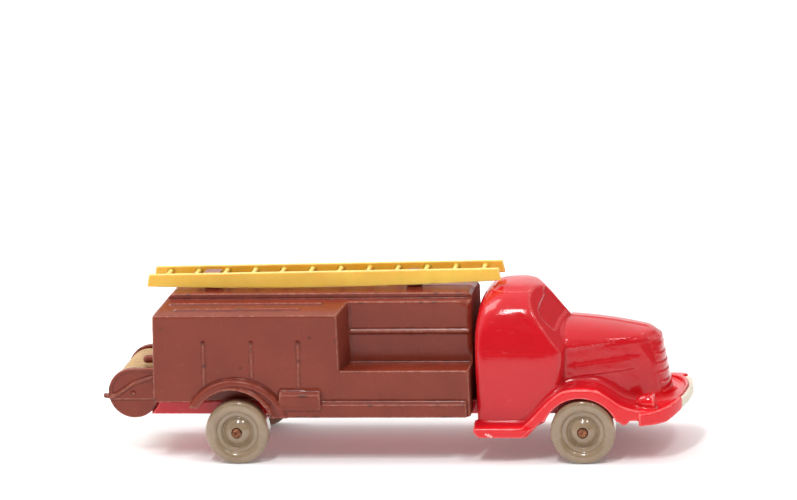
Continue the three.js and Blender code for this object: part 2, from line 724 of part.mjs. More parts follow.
function frontPeg() {
  return join(
    rodZ(1.4, frontPegX, 0, deckZ + 0.1, pegTopZ - 0.35, 24),
    rodZ(1.1, frontPegX, 0, pegTopZ - 0.6, pegTopZ, 24),
    rodZ(0.7, frontPegX, 0, deckZ - 1.6, deckZ + 0.5),
  );
}

// ---- Assembly -----------------------------------------------------------------------------------

const vehicle = new THREE.Group();

function place(name, solid, finish, parent = vehicle) {
  const mesh = new THREE.Mesh(toGeometry(solid), new THREE.MeshStandardMaterial(finish));
  mesh.name = name;
  parent.add(mesh);
}

place('chassis_frame', chassisTray(), paint.cabRed);
place('cab_shell', cabShell(), paint.cabRed);
place('body_shell', cut(bodyShell(), trayClearance()), paint.bodyBrown);
place('bumper_plate', bumperPlate(), paint.plateCream);

for (const [end, x] of [['front', frontAxleX], ['rear', rearAxleX]]) {
  place(`${end}_axle`, axle(x), paint.steel);
  place(`${end}_axle_keeper`, axleKeeper(x), paint.cabRed);
  place(`wheel_${end}_left`, wheel(x, 1), paint.wheelGrey);
  place(`wheel_${end}_right`, wheel(x, -1), paint.wheelGrey);
}
for (const { name, x } of rivets) place(name, rivet(x), paint.steel);

place('reel_side_left', reelSidePlate(1), paint.bodyBrown);
place('reel_side_right', reelSidePlate(-1), paint.bodyBrown);
place('reel_drum', reelDrum(), paint.bodyBrown);
place('hose_winding', hoseWinding(), paint.hoseCream);
place('reel_spindle', reelSpindle(), paint.steel);

place('ladder_peg_rear', rearPeg(), paint.bodyBrown);
place('ladder_peg_front', frontPeg(), paint.bodyBrown);

const ladderSeat = new THREE.Group();
ladderSeat.position.set(ladderCentreX, 0, ladderTopZ);
ladderSeat.rotation.y = -ladderTilt;
vehicle.add(ladderSeat);
place('ladder', ladder(), paint.ladderYellow, ladderSeat);

export default vehicle;
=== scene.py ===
"""Looks of the toy fire engine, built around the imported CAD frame.

The moulded pieces are signed distance fields in millimetres, turned into smooth meshes, so that
every edge and corner has the soft radius of a moulding. +X is the front of the vehicle, -Y its
right side and +Z up, as in the CAD.
"""

import math

import bpy
import numpy as np
from mathutils import Matrix, Vector


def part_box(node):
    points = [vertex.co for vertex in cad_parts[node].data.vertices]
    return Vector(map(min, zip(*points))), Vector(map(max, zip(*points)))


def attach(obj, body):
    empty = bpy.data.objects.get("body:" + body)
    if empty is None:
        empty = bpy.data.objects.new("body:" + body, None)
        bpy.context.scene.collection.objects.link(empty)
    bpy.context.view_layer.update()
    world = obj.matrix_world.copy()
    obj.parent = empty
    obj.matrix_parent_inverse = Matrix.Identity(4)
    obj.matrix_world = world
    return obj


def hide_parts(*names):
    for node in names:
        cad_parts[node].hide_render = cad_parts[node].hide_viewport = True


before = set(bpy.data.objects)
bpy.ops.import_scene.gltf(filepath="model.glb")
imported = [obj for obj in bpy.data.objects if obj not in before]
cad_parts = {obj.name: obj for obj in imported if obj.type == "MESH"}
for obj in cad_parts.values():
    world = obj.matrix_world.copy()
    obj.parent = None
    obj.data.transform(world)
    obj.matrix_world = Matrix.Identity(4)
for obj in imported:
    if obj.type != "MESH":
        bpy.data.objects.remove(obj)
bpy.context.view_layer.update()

MM = 0.001
FINE = 0.18  # grid step of the large mouldings
MOST_FACES = 190_000  # triangles of one piece
NOISE = np.random.default_rng(7)


def mm_box(node):
    low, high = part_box(node)
    return np.array(low) / MM, np.array(high) / MM


def mm_centre(node):
    low, high = mm_box(node)
    return (low + high) / 2


BODY_FRONT = mm_box("body_shell")[1][0]
REAR_AXLE = mm_centre("wheel_rear_right")
FRONT_AXLE = mm_centre("wheel_front_right")
REEL = mm_centre("hose_winding")
WALL = 1.0  # of the two hollow shells


# ---- Distance fields -----------------------------------------------------------------------------


class Grid:
    """Points `step` apart through a box. x, y and z broadcast against each other."""

    def __init__(self, low, high, step):
        self.low = np.array(low, float)
        self.step = step
        axes = [np.arange(a, b + step, step, dtype=np.float32) for a, b in zip(low, high)]
        self.x, self.y, self.z = np.ix_(*axes)
        self.side = np.abs(self.y)  # both sides of the vehicle are alike
        self.shape = tuple(len(a) for a in axes)


def meet(a, b, r=0.0):
    """Where both are: their shared edge gets radius r."""
    return np.minimum(-r, np.maximum(a, b)) + np.hypot(np.maximum(a + r, 0), np.maximum(b + r, 0))


def merge(a, b, r=0.0):
    """Either of the two, with a fillet of radius r between them."""
    return np.maximum(r, np.minimum(a, b)) - np.hypot(np.maximum(r - a, 0), np.maximum(r - b, 0))


def carve(a, b, r=0.0):
    return meet(a, -b, r)


def slab(v, low, high):
    return np.maximum(low - v, v - high)


def block(g, x, side, z, r):
    """A rounded box given by (low, high) pairs; `side` is a distance from the centre plane."""
    ranges = zip((g.x, g.side, g.z), (x, side, z))
    q = [np.abs(v - (lo + hi) / 2) - (hi - lo) / 2 + r for v, (lo, hi) in ranges]
    outside = np.sqrt(sum(np.maximum(p, 0) ** 2 for p in q))
    return outside + np.minimum(np.maximum(np.maximum(q[0], q[1]), q[2]), 0) - r


def inset(points, r):
    """A closed outline drawn in by r."""
    p = np.array(points, float)
    q = np.roll(p, -1, 0)
    turn = np.sign(np.sum(p[:, 0] * q[:, 1] - q[:, 0] * p[:, 1]))
    e = q - p
    e /= np.linalg.norm(e, axis=1)[:, None]
    normal = turn * np.stack([-e[:, 1], e[:, 0]], 1)
    before_e, before_n = np.roll(e, 1, 0), np.roll(normal, 1, 0)
    start, before = p + r * normal, p + r * before_n
    cross = before_e[:, 0] * e[:, 1] - before_e[:, 1] * e[:, 0]
    safe = np.where(np.abs(cross) < 1e-6, 1, cross)
    gap = start - before
    t = (gap[:, 0] * e[:, 1] - gap[:, 1] * e[:, 0]) / safe
    return np.where(np.abs(cross)[:, None] < 1e-6, start, before + t[:, None] * before_e)


def outline(a, b, points, r=0.0):
    """Distance to a closed outline in two coordinates, its outer corners rounded to radius r."""
    p = inset(points, r) if r else np.array(points, float)
    near = np.float32(1e9)
    inside = False
    for (a0, b0), (a1, b1) in zip(p, np.roll(p, -1, 0)):
        da, db = a1 - a0, b1 - b0
        u, v = a - np.float32(a0), b - np.float32(b0)
        t = np.clip((u * da + v * db) / (da * da + db * db), 0, 1)
        near = np.minimum(near, (u - t * da) ** 2 + (v - t * db) ** 2)
        if abs(db) > 1e-9:
            inside = inside ^ (((v < 0) != (b < b1)) & (u < v * (da / db)))
    return (np.where(inside, -1, 1) * np.sqrt(near) - r).astype(np.float32)


def true_distance(f, step):
    """Scales a field to millimetres near its surface."""
    slope = np.sqrt(sum(d * d for d in np.gradient(f, step)))
    return f / np.maximum(slope, 0.05)


def curve(x, xs, ys):
    """Monotone smooth curve through points, for any array x."""
    xs, ys = np.array(xs, float), np.array(ys, float)
    h = np.diff(xs)
    d = np.diff(ys) / h
    m = np.zeros(len(xs))
    m[0], m[-1] = d[0], d[-1]
    same = d[:-1] * d[1:] > 0
    w1, w2 = 2 * h[1:] + h[:-1], h[1:] + 2 * h[:-1]
    with np.errstate(divide="ignore", invalid="ignore"):
        m[1:-1] = np.where(same, (w1 + w2) / (w1 / d[:-1] + w2 / d[1:]), 0)
    x = np.clip(x, xs[0], xs[-1])
    i = np.clip(np.searchsorted(xs, x, side="right") - 1, 0, len(h) - 1)
    t = (x - xs[i]) / h[i]
    return (
        (1 + 2 * t) * (1 - t) ** 2 * ys[i]
        + t * (1 - t) ** 2 * h[i] * m[i]
        + t * t * (3 - 2 * t) * ys[i + 1]
        + t * t * (t - 1) * h[i] * m[i + 1]
    ).astype(np.float32)


def ramp(v, low, high):
    t = np.clip((v - low) / (high - low), 0, 1)
    return t * t * (3 - 2 * t)


# ---- Meshes --------------------------------------------------------------------------------------


def surface(g, f):
    """Surface nets: points (mm), quads and a convexity value for each point."""
    f = np.ascontiguousarray(np.broadcast_to(f, g.shape), dtype=np.float32)
    bend = -6 * f
    for axis in range(3):
        bend += np.roll(f, 1, axis) + np.roll(f, -1, axis)
    bend /= g.step**2
    inside = f < 0
    n = [s - 1 for s in g.shape]
    corners = [(i, j, k) for i in (0, 1) for j in (0, 1) for k in (0, 1)]
    part = lambda a, c: a[c[0] : c[0] + n[0], c[1] : c[1] + n[1], c[2] : c[2] + n[2]]
    count = sum(part(inside, c).astype(np.int8) for c in corners)
    cells = np.nonzero((count > 0) & (count < 8))
    index = np.full(n, -1, np.int64)
    index[cells] = np.arange(len(cells[0]))
    points = np.zeros((len(cells[0]), 3))
    hits = np.zeros(len(cells[0]))
    for c in corners:
        for axis in range(3):
            if c[axis]:
                continue
            d = list(c)
            d[axis] = 1
            fa, fb = part(f, c)[cells], part(f, d)[cells]
            crosses = (fa < 0) != (fb < 0)
            t = np.where(crosses, fa / np.where(crosses, fa - fb, 1), 0)
            for k in range(3):
                points[:, k] += crosses * (c[k] + (t if k == axis else 0))
            hits += crosses
    points = points / hits[:, None] + np.stack(cells, 1)
    convex = sum(part(bend, c)[cells] for c in corners) / 8
    quads = []
    for axis in range(3):
        u, v = (axis + 1) % 3, (axis + 2) % 3
        low = [slice(None)] * 3
        high = [slice(None)] * 3
        low[axis], high[axis] = slice(0, -1), slice(1, None)
        a, b = inside[tuple(low)], inside[tuple(high)]
        at = np.stack(np.nonzero(a != b), 1)
        for across in (u, v):
            at = at[(at[:, across] > 0) & (at[:, across] < g.shape[across] - 1)]
        outward = a[tuple(at.T)]
        ring = []
        for du, dv in ((1, 1), (0, 1), (0, 0), (1, 0)):
            cell = at.copy()
            cell[:, u] -= du
            cell[:, v] -= dv
            ring.append(index[tuple(cell.T)])
        ring = np.stack(ring, 1)
        quads.append(np.where(outward[:, None], ring, ring[:, ::-1]))
    return g.low + points * g.step, np.concatenate(quads), convex


def new_object(name, points, faces, convex=None):
    """A mesh object from points in millimetres and faces of equal size."""
    faces = np.asarray(faces)
    mesh = bpy.data.meshes.new(name)
    mesh.vertices.add(len(points))
    mesh.vertices.foreach_set("co", (np.asarray(points, float) * MM).ravel())
    sides = faces.shape[1]
    mesh.loops.add(faces.size)
    mesh.loops.foreach_set("vertex_index", faces.ravel().astype(np.int32))
    mesh.polygons.add(len(faces))
    mesh.polygons.foreach_set("loop_start", np.arange(0, faces.size, sides, dtype=np.int32))
    mesh.update(calc_edges=True)
    mesh.validate()
    mesh.polygons.foreach_set("use_smooth", np.full(len(mesh.polygons), True))
    if convex is not None:
        attribute = mesh.attributes.new("convex", "FLOAT", "POINT")
        attribute.data.foreach_set("value", np.asarray(convex, np.float32))
    piece = bpy.data.objects.new(name, mesh)
    bpy.context.scene.collection.objects.link(piece)
    return piece


def thin_out(piece, most):
    """Collapses flat regions until the piece has at most `most` triangles."""
    triangles = sum(len(p.vertices) - 2 for p in piece.data.polygons)
    if triangles <= most:
        return
    modifier = piece.modifiers.new("thin", "DECIMATE")
    modifier.ratio = most / triangles
    graph = bpy.context.evaluated_depsgraph_get()
    mesh = bpy.data.meshes.new_from_object(piece.evaluated_get(graph))
    piece.modifiers.clear()
    piece.data = mesh
    mesh.polygons.foreach_set("use_smooth", np.full(len(mesh.polygons), True))


def moulded(name, g, f, transform=None):
    points, quads, convex = surface(g, f)
    if transform is not None:
        points = np.c_[points, np.ones(len(points))] @ np.array(transform).T[:, :3]
    piece = new_object(name, points, quads, convex)
    thin_out(piece, MOST_FACES)
    return piece


def smooth_profile(profile, steps, reach=0.42, limit=0.22):
    """A closed profile with its corners turned into short Bezier bends, at most `limit` long."""
    p = np.array(profile, float)
    out = []
    for before, here, after in zip(np.roll(p, 1, 0), p, np.roll(p, -1, 0)):
        a, b = here + (before - here) * reach, here + (after - here) * reach
        for end in (a, b):
            length = np.linalg.norm(end - here)
            if length > limit:
                end[:] = here + (end - here) * limit / length
        for i in range(steps + 1):
            t = i / steps
            out.append((1 - t) ** 2 * a + 2 * t * (1 - t) * here + t * t * b)
    return np.array(out)


def lathe(name, profile, centre, segments, wobble=0.0):
    """A ring-shaped piece about the Y axis through centre, from a closed profile of (radius, y)."""
    profile = np.asarray(profile, float)
    angles = np.linspace(0, 2 * np.pi, segments, endpoint=False)
    phase = NOISE.uniform(0, 2 * np.pi, (3, len(profile)))
    points = []
    for angle in angles:
        shake = wobble * sum(np.sin((k + 1) * angle + phase[k] * 0.15) / (k + 1) for k in range(3))
        radius = profile[:, 0] + shake
        points.append(np.stack([radius * np.cos(angle), profile[:, 1], radius * np.sin(angle)], 1))
    points = np.concatenate(points) + np.array(centre)
    n = len(profile)
    faces = []
    for s in range(segments):
        a, b = s * n, ((s + 1) % segments) * n
        i = np.arange(n)
        j = (i + 1) % n
        faces.append(np.stack([a + i, b + i, b + j, a + j], 1))
    faces = np.concatenate(faces)
    after = np.roll(profile, -1, 0)
    area = np.sum(profile[:, 0] * after[:, 1] - after[:, 0] * profile[:, 1])
    return new_object(name, points, faces if area < 0 else faces[:, ::-1])


# ---- Brown body ----------------------------------------------------------------------------------

TRAY_TOP = 9.8  # the shells stand clear of the tray below this height
REAR_ARCH = (-26.0, 5.8)  # centre of the rear wheel opening


def body_box(g):
    """The box with its roof deck and the open bay of each side."""
    x, z, side = g.x, g.z, g.side
    walls = outline(side, z, [(-14, -5), (12, -5), (12, 24.7), (0, 26.75), (-14, 26.75)], 0.32)
    deck = outline(side, z, [(-14, 20), (5.3, 20), (5.3, 26.8), (-14, 26.8)], 0.3)
    across = merge(walls, deck, 0.2)
    length = outline(
        x, z, [(-39.7, -5), (-38.5, 24.7), (-36.6, 26.8), (-34, 30), (20, 30), (20, -5)], 0.3
    )
    shell = meet(across, length, 0.3)
    shell = meet(shell, x - BODY_FRONT, 0.25 + 0.95 * ramp(z, 25.3, 26.2))
    slant = (-8.2 + (12 - side) * 0.185 - x) * 0.983
    bay = meet(meet(6.6 - side, slant, 0.55), 15.45 - z, 0.3)
    corner_radius = 0.22 + 0.8 * ramp(x, 10.5, 12.4) * ramp(z, 16.4, 18.0)
    return carve(shell, bay, corner_radius)


def rear_wing(g, arch):
    x, z, side = g.x, g.z, g.side
    ring = np.hypot(x - REAR_AXLE[0], z - REAR_AXLE[2])
    wing = meet(ring - 8.9, side - 12.85, 0.45)
    wing = meet(wing, 11.2 - side)
    hem = meet(np.abs(arch - 6.95) - 0.4, slab(side, 11.2, 12.95), 0.35)
    rim = meet(np.abs(ring - 8.3) - 0.55, slab(side, 11.2, 12.95), 0.5)
    wing = merge(meet(wing, side - 12.6, 0.1), merge(hem, rim, 0.1), 0.12)
    ends = [(-32.8, 9.45), (-19.9, 9.45), (-19.9, 7.77), (-16.4, 7.77), (-16.4, 16),
            (-34.4, 16), (-34.4, 10.0)]
    return meet(wing, outline(x, z, ends, 0.3), 0.25)


def body_field(g):
    x, z, side = g.x, g.z, g.side
    shell = body_box(g)
    hollow = shell + WALL

    shell = np.maximum(shell, np.where(x < -26, 10.26, 7.77) - z)
    sill = outline(side, z, [(10, 7.77), (12.7, 7.77), (12.7, 9.9), (11.9, 10.55), (10, 10.55)], 0.2)
    sill = meet(sill, slab(x, -21, 12.45), 0.2)
    chest = [(11.2, 8.5), (12.95, 9.2), (12.93, 11.5), (11.9, 12.5), (11.2, 12.5)]
    chest = meet(outline(side, z, chest, 0.25), slab(x, -18.1, -11.3), 0.25)
    notch = block(g, (-14.1, -10.9), (12.2, 14), (12.05, 14), 0.1)
    chest = carve(chest, notch, 0.15)
    shell = merge(merge(shell, sill, 0.22), chest, 0.2)

    arch = np.hypot(x - REAR_ARCH[0], z - REAR_ARCH[1])
    shell = merge(shell, rear_wing(g, arch), 0.28)

    # rail in the bay, ribs on the roof, beads on the side
    rail = np.hypot(side - 6.55, z - 20.7) - 0.36
    rail = meet(rail, slab(x, -7.0, BODY_FRONT - 0.3), 0.1)
    shell = merge(shell, rail, 0.18)
    for foot, x0, x1 in ((9.6, -35.4, -14.5), (7.4, -36.6, -11.2)):
        top = 24.7 + (12 - foot) * 0.1716
        rib = np.hypot(side - foot, z - top + 0.1) - 0.36
        shell = merge(shell, meet(rib, slab(x, x0, x1), 0.3), 0.12)
    for at, foot in ((-30.4, 12.9), (-22.5, 14.3), (-14.8, 12.7)):
        lean = x - at - 0.03 * (z - 16)
        bead = np.sqrt(lean**2 + (side - 11.98) ** 2) - 0.16
        knob = np.sqrt(lean**2 + ((side - 12) * 2) ** 2 + (z - 20.1) ** 2) - 0.36
        bead = meet(bead, slab(z, foot, 20.1), 0.2)
        shell = merge(shell, merge(bead, knob, 0.1), 0.1)
    shell = carve(shell, meet(arch - 6.55, slab(x, -40, 0)), 0.15)

    # lugs over the hose, then the hollow inside and the wheel wells
    lug = np.sqrt(np.maximum(-41.4 - x, 0) ** 2 + (side - 4.5) ** 2 + (z - 15.65) ** 2) - 0.68
    shell = merge(shell, np.maximum(lug, x + 38.6), 0.2)
    shell = np.maximum(shell, -hollow)
    tray = block(g, (-40.8, 40), (-9, 8.25), (0, TRAY_TOP), 0.05)
    shell = np.maximum(shell, -tray)
    well = meet(meet(arch - 7.35, slab(side, 8.35, 11.6)), TRAY_TOP - z, 0.1)
    well = carve(well, meet(arch - 6.55, 9.15 - side), 0.1)
    return np.minimum(shell, well)


# ---- Red cab -------------------------------------------------------------------------------------

CAB_LEVELS = np.array([
    # depth under the roof, half width, length behind and in front of x = 20.5
    [0.1, 2.6, 2.6, 1.3],
    [0.55, 4.8, 4.2, 2.9],
    [1.5, 7.2, 5.5, 4.7],
    [2.9, 8.9, 6.25, 6.5],
    [4.9, 10.0, 6.65, 7.8],
    [7.2, 10.8, 6.85, 8.0],
    [10.2, 11.4, 6.85, 7.8],
    [14.7, 11.6, 6.85, 7.5],
    [18.2, 11.4, 6.85, 7.3],
    [21.1, 10.95, 6.85, 7.1],
    [40.0, 10.9, 6.85, 7.1],
])
CAB_ROOF = 27.7
CAB_MIDDLE = 20.5


def cab_body(g):
    depth = CAB_ROOF - g.z
    levels = CAB_LEVELS
    axes = [curve(depth, levels[:, 0], levels[:, k] ** 2 / levels[:, 0]) for k in (1, 2, 3)]
    along = g.x - CAB_MIDDLE
    behind = curve(depth, [0, 1.5, 3, 5, 7, 10, 40], [1.4, 1.6, 2.3, 3.4, 4.6, 5.4, 5.8])
    ahead = curve(depth, [0, 1.5, 3, 5, 7, 10, 40], [1.1, 1.35, 1.6, 2.0, 2.5, 3.8, 4.6])
    power = np.where(along < 0, behind, ahead)
    width = g.side**2 / axes[0]
    length = along**2 / np.where(along < 0, axes[1], axes[2])
    biggest = np.maximum(np.maximum(width, length), 1e-6)
    smallest = np.minimum(width, length)
    f = biggest * (1 + (smallest / biggest) ** power) ** (1 / power) - depth
    return true_distance(f, g.step)


BONNET = np.array([
    # x, half width, shoulder, top
    [20.0, 9.2, 16.9, 21.9],
    [26.5, 8.3, 17.4, 21.6],
    [30.0, 7.8, 17.6, 21.35],
    [34.0, 7.0, 17.9, 20.9],
    [38.0, 5.9, 18.2, 20.25],
    [40.4, 5.0, 18.35, 19.8],
    [42.0, 4.3, 18.3, 19.5],
    [44.0, 3.6, 18.1, 19.1],
    [50.0, 3.4, 17.5, 18.0],
])


def bonnet_section(g, widen=0.0):
    x = g.x
    width = curve(x, BONNET[:, 0], BONNET[:, 1]) + widen
    shoulder = curve(x, BONNET[:, 0], BONNET[:, 2])
    rise = curve(x, BONNET[:, 0], BONNET[:, 3]) - shoulder + widen * 0.3
    width = width + 0.11 * (17.5 - np.minimum(g.z, 19))
    up = np.maximum(g.z - shoulder, 0) / rise
    f = (np.sqrt((g.side / width) ** 2 + up**2.4) - 1) * width
    return true_distance(np.broadcast_to(f, g.shape), g.step)


def nose(g):
    front = 43.35 + (17.6 - g.z) * 0.17
    share = np.minimum(g.side / 4.3, 0.97)
    return (g.x - front + 1.9 * (1 - np.sqrt(1 - share**2))) * 0.985


def screen_plane(g):
    a, b, c = (np.array(p) for p in ((24.75, 0, 26.55), (28.3, 0, 22.15), (25.9, 9.5, 20.9)))
    normal = np.cross(b - a, c - a)
    normal *= np.sign(normal[0]) / np.linalg.norm(normal)
    soft_side = np.sqrt(g.y**2 + 0.2**2)
    return normal[0] * (g.x - a[0]) + normal[1] * (soft_side - a[1]) + normal[2] * (g.z - a[2])


BUMPER_PLAN = [(40.1, 12.9), (42.2, 12.5), (44.6, 10.9), (46.4, 8.0), (47.6, 4.2), (48.1, 0)]


def bumper_plan(g):
    ys = [p[1] for p in BUMPER_PLAN][::-1]
    xs = [p[0] for p in BUMPER_PLAN][::-1]
    half = [(float(curve(np.array(y), ys, xs)), y) for y in np.linspace(0, 12.9, 24)]
    half[-1] = (40.1, 12.9)
    return outline(g.x, g.side, [(48.1, -3), *half, (10, 12.9), (10, -3)])


SCREEN_PANE = [
    (0.35, 26.6), (1.5, 26.4), (2.5, 25.75), (3.6, 25.45), (5.8, 24.85), (7.2, 24.3), (8.0, 23.5),
    (8.2, 22.65), (7.9, 21.8), (7.75, 20.9), (6.7, 21.0), (3.7, 21.85), (0.35, 22.45),
]
SIDE_WINDOW = [
    (15.2, 16.0), (15.0, 22.2), (15.9, 23.6), (17.6, 24.5), (19.6, 24.85), (21.5, 24.4),
    (22.8, 23.3), (24.0, 22.0), (25.3, 20.4), (25.4, 16.3),
]
WING_CREST = [
    (21.2, 6.1), (22.3, 7.1), (24.2, 9.0), (26.0, 10.8), (28, 12.1), (30.5, 12.7), (33, 12.4),
    (35.2, 11.2), (37.2, 9.8), (39.5, 8.95), (43, 8.5),
]


def cab_with_windows(g):
    """The cab with its windscreen panes, side window recess and belt line."""
    x, z, side = g.x, g.z, g.side
    pane = outline(side, z, SCREEN_PANE, 0.3)
    screen = screen_plane(g) + 0.2 * ramp(-pane, -0.05, 0.25)
    cab = meet(cab_body(g), screen, 0.3)
    window = ramp(-outline(x, z, SIDE_WINDOW, 0.8), -0.1, 0.8)
    window = window * ramp(side, 5, 7) * ramp(z, 20.5, 22.5) * ramp(x, 19.5, 21.5)
    belt = ramp(z, 17.85, 18.05) * ramp(z, 22.5, 18.1) * ramp(x, 15.2, 15.6) * ramp(x, 24.6, 23.6)
    return cab + 0.09 * window + 0.09 * belt * ramp(side, 5, 7)


def bonnet_details(g, bonnet):
    """Adds the lid, cowl ring, centre ridge, louvre and grille to the plain bonnet."""
    x, z, side = g.x, g.z, g.side
    waver = 0.05 * np.sin(3.1 * x + np.sin(1.7 * x)) + 0.03 * np.sin(7.3 * x)
    crease = curve(x, [20, 28.5, 33.7, 40.6, 50], [17.0, 17.8, 18.4, 19.15, 19.3]) + waver
    raised = 0.15 * ramp(x, 42.0, 35.0) - 0.04
    lid = meet(meet(bonnet - raised, crease - z, 0.3), slab(x, 27.9, 43.0), 0.6)
    cowl = meet(bonnet - 0.2, slab(x, 26.6, 27.85), 0.2)
    ridge = np.sqrt(side**2 + (z - curve(x, BONNET[:, 0], BONNET[:, 3]) + 0.12) ** 2) - 0.3
    ridge = meet(ridge, slab(x, 26.6, 41.0), 0.3)
    louvre = outline(x, z, [(28.4, 13.3), (40.2, 14.25), (40.2, 16.25), (28.4, 15.25)], 0.3)
    height = 0.2 * ramp(x, 28.2, 30.0) * ramp(-x, -40.4, -38.4) - 0.06
    bonnet = merge(merge(bonnet, lid, 0.3), meet(bonnet - height, louvre, 0.13), 0.1)
    bonnet = merge(merge(bonnet, cowl, 0.15), ridge, 0.5)
    rib = (z - 8.6) / 1.5
    rib = rib - np.floor(rib)
    notch = ramp(rib, 0, 0.12) * (0.25 + 0.75 * rib) * ramp(-rib, -1.0, -0.9)
    grille = ramp(side, 4.25, 4.05) * ramp(x, 41.4, 41.7)
    grille = grille * ramp(z, 8.5, 8.8) * ramp(z, 17.7, 17.5)
    return bonnet + (0.12 - 0.2 * notch) * grille


def front_wings(g, plan):
    """Both wings with the shelf behind the bumper."""
    xs, zs = np.array(WING_CREST).T
    t = np.linspace(0, 1, len(xs))
    fine = np.linspace(0, 1, 40)
    crest = list(zip(curve(fine, t, xs), curve(fine, t, zs)))
    side_view = [(20, 4.4), (21.9, 4.4), (24.4, 7.0), (36.9, 7.0), (37.4, 6.5), (38.1, 6.5), (38.7, 7.2),
                 (42, 7.2), (46, 7.8), (47.2, 8.3), (47.2, 8.9), (45, 8.55), *crest[::-1], (20, 5.95)]
    across = [(-14, 0), (12.9, 0), (12.8, 12.35), (11.6, 12.75), (8, 13.1), (-14, 13.1)]
    wings = meet(outline(g.x, g.z, side_view, 0.1), outline(g.side, g.z, across, 0.4), 0.42)
    return np.maximum(wings, plan + 0.4 * ramp(g.x, 36, 40))


def running_board(g):
    across = [(10.0, 4.4), (13.0, 4.4), (13.0, 5.95), (10.9, 6.8), (10.0, 6.8)]
    along = [(13.4, 5.4), (14.3, 4.4), (21.2, 4.4), (23.2, 6.2), (23.2, 7.2), (13.4, 7.2)]
    return meet(outline(g.side, g.z, across, 0.2), outline(g.x, g.z, along, 0.25), 0.2)


def bumper_band(g, plan):
    lower = [(39.9, 6.28), (44.4, 6.6), (46.6, 7.7), (48.3, 8.2)]
    upper = [(39.9, 8.35), (42.5, 8.65), (44.6, 9.15), (46.2, 9.75), (48.3, 10.4)]
    band = meet(np.abs(plan + 0.65) - 0.65, outline(g.x, g.z, lower + upper[::-1]), 0.3)
    return meet(band, 40.1 - g.x, 0.2)


def headlamp(g):
    """A drop-shaped housing with a ring and a domed glass."""
    x = g.x
    around = np.sqrt((g.side - 9.6) ** 2 + (g.z - 9.55) ** 2)
    drop = np.sqrt(around**2 + (np.maximum(41.6 - x, 0) * 0.58) ** 2) - 1.3
    housing = meet(drop, x - 42.45, 0.3)
    ring = np.hypot(around - 1.15, (x - 42.3) * 0.9) - 0.27
    glass = np.sqrt(around**2 + ((x - 42.35) * 2.2) ** 2) - 1.0
    return merge(merge(housing, ring, 0.15), glass, 0.1)


def cab_field(g):
    x, z, side = g.x, g.z, g.side
    plan = bumper_plan(g)
    cab = cab_with_windows(g)
    bonnet = meet(bonnet_section(g), nose(g), 0.6 + 1.3 * ramp(z, 14.5, 18))
    bonnet = np.maximum(bonnet, 20.5 - x)
    under = outline(x, z, [(24, -5), (37.2, -5), (37.2, 8.4), (35, 10.3), (33, 11.5), (24, 11.8)])
    hollow = np.minimum(np.minimum(cab, bonnet) + WALL, np.maximum(under, side - 8.5))

    bonnet = bonnet_details(g, bonnet)
    shell = merge(np.maximum(cab, 6.6 - z), np.maximum(bonnet, 7.5 - z), 0.3)
    shell = merge(shell, front_wings(g, plan), 1.1)
    shell = merge(shell, running_board(g), 0.25)
    shell = merge(shell, bumper_band(g, plan), 0.2)
    shell = merge(shell, headlamp(g), 0.5)

    wheel_well = meet(np.hypot(x - 30.75, z - 4.7) - 6.2, 9.3 - side, 0.2)
    shell = carve(shell, wheel_well, 0.15)
    shell = np.maximum(shell, -hollow)
    plate = meet(np.abs(plan + 0.42) - 0.43, side - 7.25)
    shell = carve(shell, np.where(x > 40, plate, 5), 0.06)
    tray = block(g, (0, 34.9), (-9, 8.3), (0, TRAY_TOP), 0.05)
    return np.maximum(shell, -tray)


# ---- Running gear and small pieces ---------------------------------------------------------------


def chassis_field(g):
    x, z, side = g.x, g.z, g.side
    tray = block(g, (-40.6, 34.6), (-9, 8), (7.15, 9.5), 0.3)
    reach = np.where(slab(side, 6.6, 7.05) < 0, 3.6, 4.45)
    under_reel = np.hypot(x - REEL[0], z - REEL[2]) - reach
    tray = carve(tray, under_reel, 0.12)
    tray = carve(tray, block(g, (-37.8, 33.6), (-9, 7), (8.2, 12), 0.4), 0.15)
    for axle_x in (REAR_AXLE[0], FRONT_AXLE[0]):
        bearing = block(g, (axle_x - 2.6, axle_x + 2.6), (-9, 8), (4.35, 7.6), 0.25)
        tray = merge(tray, bearing, 0.35)
        above = z - REAR_AXLE[2]
        slot = np.maximum(np.abs(x - axle_x) - 0.86, above)
        tray = carve(tray, np.minimum(np.hypot(x - axle_x, above) - 0.86, slot), 0.1)
    rib = meet(slab(side, 3.6, 4.2), meet(slab(x, -37, 33), slab(z, 7.3, 8.9), 0.2), 0.2)
    tray = merge(tray, rib, 0.2)
    holes = np.minimum.reduce([np.hypot(x - at, g.y) - 0.9 for at in (-34, 7, 18, 26)])
    return carve(tray, meet(holes, z - 9.6), 0.1)


def keeper_field(centre):
    def field(g):
        plate = block(g, (centre - 2.6, centre + 2.6), (-9, 7), (3.45, 4.05), 0.15)
        tongue = block(g, (centre - 0.56, centre + 0.56), (-9, 7), (3.6, 4.4), 0.15)
        return merge(plate, tongue, 0.15)
    return field


def axle_field(centre):
    def field(g):
        around = np.hypot(g.x - centre, g.z - REAR_AXLE[2])
        crush = 0.05 * np.sin(5 * g.x + 3 * g.z) + 0.04 * np.sin(9 * g.z - 4 * g.x + 1)
        pin = meet(around - 0.75, g.side - 12.9 + crush, 0.22)
        pit = np.sqrt(around**2 + (g.side - 13.15) ** 2) - 0.42
        return carve(pin, pit, 0.08)
    return field


def rivet_field(centre):
    def field(g):
        around = np.hypot(g.x - centre, g.y)
        head = np.sqrt(around**2 + ((g.z - 7.05) * 1.9) ** 2) - 1.28
        head = meet(head, g.z - 7.05, 0.08)
        shank = meet(around - 0.6, slab(g.z, 6.8, 11.2), 0.1)
        return merge(head, shank, 0.1)
    return field


